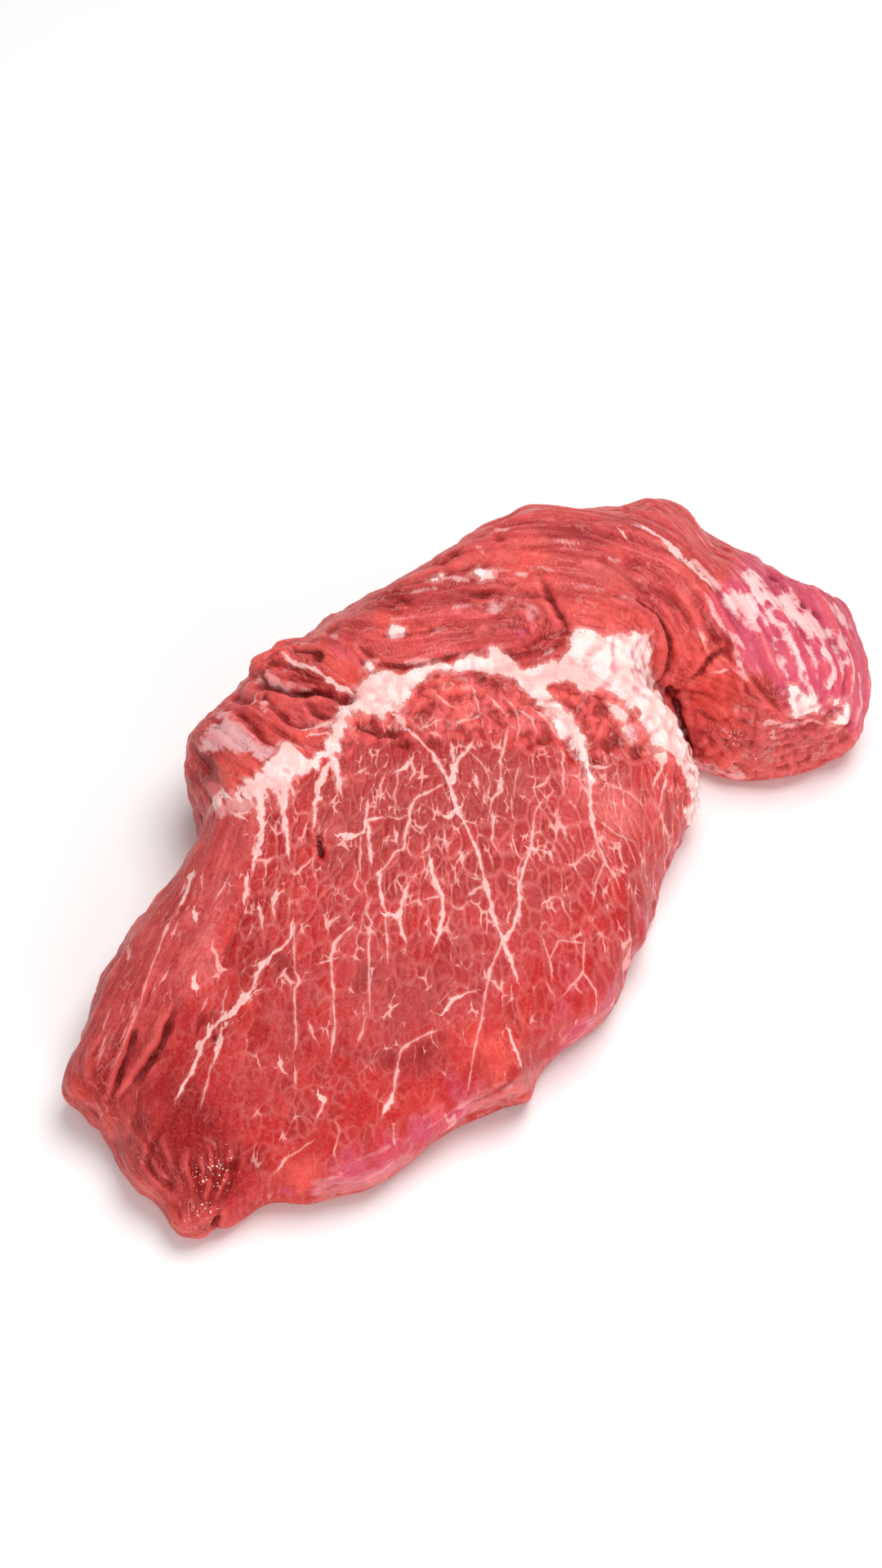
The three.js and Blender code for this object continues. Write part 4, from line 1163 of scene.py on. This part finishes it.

# %% [markdown]
# The colours go on like glazes, one over another. Each row below is a mask, how much of it counts,
# and the colour it brings, from the muscle's own red up to the fat. Some rows paint light and shade:
# shade in hollows, creases, wrinkles and the gaps of torn meat, light on ridges, and small highlights.

# %% Layers of colour
tint = add(nodes, "ShaderNodeSeparateColor", {0: cell_tint[0]}).node.outputs
fine_tint = add(nodes, "ShaderNodeSeparateColor", {0: cell_tint[1]}).node.outputs
tint_dark = maths("MULTIPLY", maths("POWER", tint[0], 2.0), mark["face"])
tint_pale = maths("MULTIPLY", tint[1], mark["face"])
tint_fine = maths("MULTIPLY", fine_tint[0], mark["face"])
streak_dark = blend_of(mark["streak"], 0.1, -2.0)
streak_pale = blend_of(mark["streak"], 0.5, 2.3)
bundle_dark = blend_of(mark["bundle"], 0.2, -2.0)
off_face = maths("SUBTRACT", 1.0, mark["face"])
broad_dark = blend_of(noises["broad"], 0.5, 0.72)
broad_pale = blend_of(noises["broad"], 0.5, 0.28)
patchy_dark = blend_of(noises["patchy"], 0.5, 0.75)
patchy_pale = blend_of(noises["patchy"], 0.5, 0.28)
grain_dark = blend_of(noises["grain"], 0.48, 0.78)
grain_pale = blend_of(noises["grain"], 0.52, 0.22)
small_pale = blend_of(noises["small"], 0.52, 0.72)
small_dark = blend_of(noises["small"], 0.48, 0.28)
# Painted shade, with dark wet meat, at the bottoms of creases, folds, pits and the gaps of torn meat.
crease_shade = blend_of(mark["crease"], 0.3, 2.6)
not_creased = maths("SUBTRACT", 1.0, crease_shade)
# Painted shade in the hollows and painted light on the ridges, from how far the blurred copy lies above or
# below the surface.
hollow = blend_of(mark["cavity"], 0.03, 0.55)
ridge = blend_of(mark["cavity"], -0.03, -0.5)
# Painted shade along the fine wrinkles between strands; the same line also dents the bump.
wrinkle_line = blend_of(maths("ABSOLUTE", mark["strand"], 0.0), 0.30, 0.0)
wrinkle_line = maths("MULTIPLY", wrinkle_line, mark["wrinkled"])
thread_line = maths("MULTIPLY", blend_of(maths("ABSOLUTE", mark["streak"], 0.0), 0.30, 0.0), off_face)
thread_line = maths("MULTIPLY", thread_line, blend_of(noises["patchy"], 0.46, 0.60))
torn_gap_line = maths("MULTIPLY", blend_of(mark["torn_gap"], 0.9, 0.1), mark["torn"])
torn_white = maths("MULTIPLY", torn_gap_line, blend_of(noises["patchy"], 0.54, 0.62))
# Painted shade in the dark gaps between torn lumps.
torn_gap_shade = maths("MULTIPLY", torn_gap_line, blend_of(noises["patchy"], 0.54, 0.46))
broken = {}
for name in ("dark_and_shade", "brown", "bright", "pink", "pale"):
    torn_edge = maths("MULTIPLY_ADD", maths("SUBTRACT", noises["patchy"], 0.5), 1.1, mark[name])
    broken[name] = blend_of(torn_edge, 0.12, 0.8)
# Painted highlights: in the glint patches, small pale dots stand for light glinting on wet drops.
painted_glints = None
for spacing, rarest in ((1.3, 0.45), (0.8, 0.4)):
    dots = add(nodes, "ShaderNodeTexVoronoi", {"Vector": place, "Scale": 1 / (spacing * MM)}, out="Distance")
    pick = add(nodes, "ShaderNodeSeparateColor", {0: dots.node.outputs["Color"]}).node.outputs[0]
    size = add(nodes, "ShaderNodeMapRange", {"Value": maths("MULTIPLY", pick, mark["glint_spots"]),
               "From Min": rarest, "From Max": 0.95, "To Min": 0.0, "To Max": 0.44})
    dots = blend_of(maths("SUBTRACT", size, dots), -0.05, 0.08)
    painted_glints = dots if painted_glints is None else maths("MAXIMUM", painted_glints, dots)
puff_dip = blend_of(mark["puff"], 0.75, 0.05)
fat_cream = maths("MULTIPLY", patchy_dark, fat_mask)
# Painted shade: the dips between lumps of fat turn pinker and darker.
fat_dip_shade = maths("MULTIPLY", puff_dip, fat_mask)
fat_grain = maths("MULTIPLY", small_dark, fat_mask)

LAYERS = [
    (mark["face"], None, 0.95, CUT), (broad_dark, None, 0.35, DEEP),
    (broad_pale, None, 0.12, PALE_MUSCLE),
    (patchy_dark, None, 0.32, DEEP), (patchy_pale, off_face, 0.35, PALE_FIBRE),
    (tint_dark, None, 0.42, DEEP), (tint_pale, None, 0.18, PALE_MUSCLE), (tint_fine, None, 0.14, DEEP),
    (rim, None, 0.3, WALL), (fine_rim, None, 0.22, WALL),
    (bundle_dark, off_face, 0.24, DEEP), (streak_dark, off_face, 0.28, DEEP),
    (streak_pale, off_face, 0.5, PALE_FIBRE), (broken["brown"], None, 0.62, RUST),
    (broken["pale"], None, 0.55, PALE_FIBRE), (broken["bright"], None, 0.7, FRESH),
    (broken["pink"], None, 0.6, FILM), (broken["dark_and_shade"], None, 0.76, DEEP),
    (grain_dark, None, 0.34, DEEP), (grain_pale, None, 0.26, PALE_MUSCLE),
    (small_dark, None, 0.2, DEEP), (small_pale, mark["torn"], 0.3, FAT_PINK),
    (small_dark, mark["torn"], 0.2, DEEP), (mark["torn"], None, 0.3, PALE_MUSCLE),
    (mark["film"], None, 0.62, FILM),
    (streak_pale, mark["film"], 0.5, FAT_PINK), (streak_pale, broken["pink"], 0.5, FAT_PINK),
    (wrinkle_line, None, 0.26, DEEP), (thread_line, None, 0.34, FAT_PINK), (torn_gap_shade, None, 0.26, DEEP),
    (veil_mask, not_creased, 0.95, VEIL), (veil_mask, mark["film"], 0.45, FAT),
    (veil_mask, streak_dark, 0.3, FILM), (vein_halo, None, 0.3, PALE_MUSCLE),
    # Painted light on ridges and painted shade in hollows.
    (ridge, None, 0.4, PALE_MUSCLE), (hollow, None, 0.45, DEEP),
    # The crease row paints shade with dark wet meat into creases and pits.
    (net_white, None, 0.85, NET), (crease_shade, None, 0.75, CREVICE_SHADE), (torn_white, None, 0.6, FAT_PINK),
    (fat_halo, None, 0.55, FAT_PINK),
    (vein_mask, None, 0.88, VEIN), (fat_mask, None, 0.95, FAT), (fat_cream, None, 0.4, FAT_CREAM),
    (fat_mask, mark["thin_fat"], 0.5, FAT_PINK),
    (fat_grain, None, 0.3, FAT_PINK), (streak_dark, fat_mask, 0.4, FAT_PINK),
    (fat_dip_shade, None, 0.5, FAT_PINK), (hollow, fat_mask, 0.5, FILM), (painted_glints, None, 0.85, GLINT),
]
base = nodes.new("ShaderNodeRGB")
base.outputs[0].default_value = linear(MUSCLE)
colour = base.outputs[0]
for mask, limit, amount, tone in LAYERS:
    share = mask if limit is None else maths("MULTIPLY", mask, limit)
    share = maths("MULTIPLY", share, amount, use_clamp=True)
    mix = nodes.new("ShaderNodeMix")
    mix.data_type = "RGBA"
    beef.node_tree.links.new(share, mix.inputs[0])
    beef.node_tree.links.new(colour, mix.inputs[6])
    mix.inputs[7].default_value = linear(tone)
    colour = mix.outputs[2]
print(len(LAYERS), "layers of colour")

# %% [markdown]
# The gloss comes from two films: the meat's own moist surface, which is fairly rough, and a thin
# clear coat for the water on it. A fine bump breaks the meat's own gloss, because a mirror-smooth
# highlight would look like plastic.

# %% Gloss and bump
height = maths("MULTIPLY_ADD", noises["grain"], 0.6, noises["small"])
pillow = maths("MULTIPLY", blend_of(cell_edge[0], 0.0, 1.6), mark["net"])
height = maths("ADD", height, pillow)
height = maths("MULTIPLY_ADD", maths("MAXIMUM", vein_mask, fat_mask), 0.35, height)
height = maths("MULTIPLY_ADD", wrinkle_line, -0.5, height)
height = maths("MULTIPLY_ADD", torn_gap_line, -0.3, height)
height = maths("MULTIPLY_ADD", mark["streak"], 0.12, height)
bump = add(nodes, "ShaderNodeBump", {"Height": height, "Strength": 0.75, "Distance": 0.7 * MM})
rough_meat = add(nodes, "ShaderNodeMapRange", {"Value": noises["patchy"], "From Min": 0.3, "From Max": 0.7,
                 "To Min": 0.34, "To Max": 0.52})
surface = nodes.new("ShaderNodeBsdfPrincipled")
for name, value in (("IOR", 1.38), ("Specular IOR Level", 0.2), ("Coat Weight", 0.1), ("Coat IOR", 1.33),
                    ("Coat Roughness", 0.12), ("Subsurface Weight", 0.08),
                    ("Subsurface Scale", 1.2 * MM)):
    surface.inputs[name].default_value = value
surface.inputs["Subsurface Radius"].default_value = (1.0, 0.35, 0.25)
for source, name in ((colour, "Base Color"), (rough_meat, "Roughness"), (bump, "Normal")):
    beef.node_tree.links.new(source, surface.inputs[name])
output = nodes.new("ShaderNodeOutputMaterial")
beef.node_tree.links.new(surface.outputs[0], output.inputs[0])
skin_mesh.materials.clear()
skin_mesh.materials.append(beef)
print("the beef's material has", len(nodes), "nodes")

# %% [markdown]
# ## Floor and light
# The meat lies on a plain, nearly white floor under a wide soft light, as on a photographer's
# table. The world lights it evenly. A large lamp above its far side gives the folds their form,
# and a larger one above its near side fills their shadows.

# %% Floor, world and lamps
FLOOR_SIZE = 4.0
FLOOR_WHITE, WORLD_WHITE = "#F6F5F4", "#FFFFFF"
WORLD_LIGHT = 0.47

floor_mesh = bpy.data.meshes.new("floor")
half = FLOOR_SIZE / 2
floor_mesh.from_pydata([(-half, -half, 0), (half, -half, 0), (half, half, 0), (-half, half, 0)], [],
                       [(0, 1, 2, 3)])
floor = bpy.data.objects.new("floor", floor_mesh)
bpy.context.collection.objects.link(floor)
paper = bpy.data.materials.new("matt_white_paper")
paper.use_nodes = True
paper_surface = paper.node_tree.nodes["Principled BSDF"]
paper_surface.inputs["Roughness"].default_value = 0.9
fibres = add(paper.node_tree.nodes, "ShaderNodeTexNoise", {"Scale": 40.0, "Detail": 2}, out="Fac")
pulp = add(paper.node_tree.nodes, "ShaderNodeValToRGB", {0: fibres})
pulp.node.color_ramp.elements[0].color = linear(FLOOR_WHITE)
pulp.node.color_ramp.elements[1].color = linear(WORLD_WHITE)
paper.node_tree.links.new(pulp, paper_surface.inputs["Base Color"])
floor_mesh.materials.append(paper)

world = bpy.data.worlds.new("studio")
world.use_nodes = True
sky = world.node_tree.nodes["Background"]
sky.inputs["Color"].default_value = linear(WORLD_WHITE)
sky.inputs["Strength"].default_value = WORLD_LIGHT
bpy.context.scene.world = world
bpy.context.scene.view_settings.view_transform = "Standard"

LAMPS = {
    "key lamp": (away * 0.85 + upward * 0.8 + rightward * 0.25, 0.8, 10.5),
    "fill lamp": (away * 1.0 - upward * 1.0 + rightward * 0.3, 1.0, 12.0),
}
for name, (spot, size, power) in LAMPS.items():
    lamp_data = bpy.data.lights.new(name, "AREA")
    lamp_data.shape, lamp_data.size, lamp_data.energy = "DISK", size, power
    lamp = bpy.data.objects.new(name, lamp_data)
    lamp.location = LOOKS_AT + spot
    lamp.rotation_euler = (-spot).to_track_quat("-Z", "Y").to_euler()
    bpy.context.collection.objects.link(lamp)
print(len(LAMPS), "lamps")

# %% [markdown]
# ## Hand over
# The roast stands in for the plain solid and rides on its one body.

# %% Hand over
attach(roast, "root")
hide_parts("beef_roast")
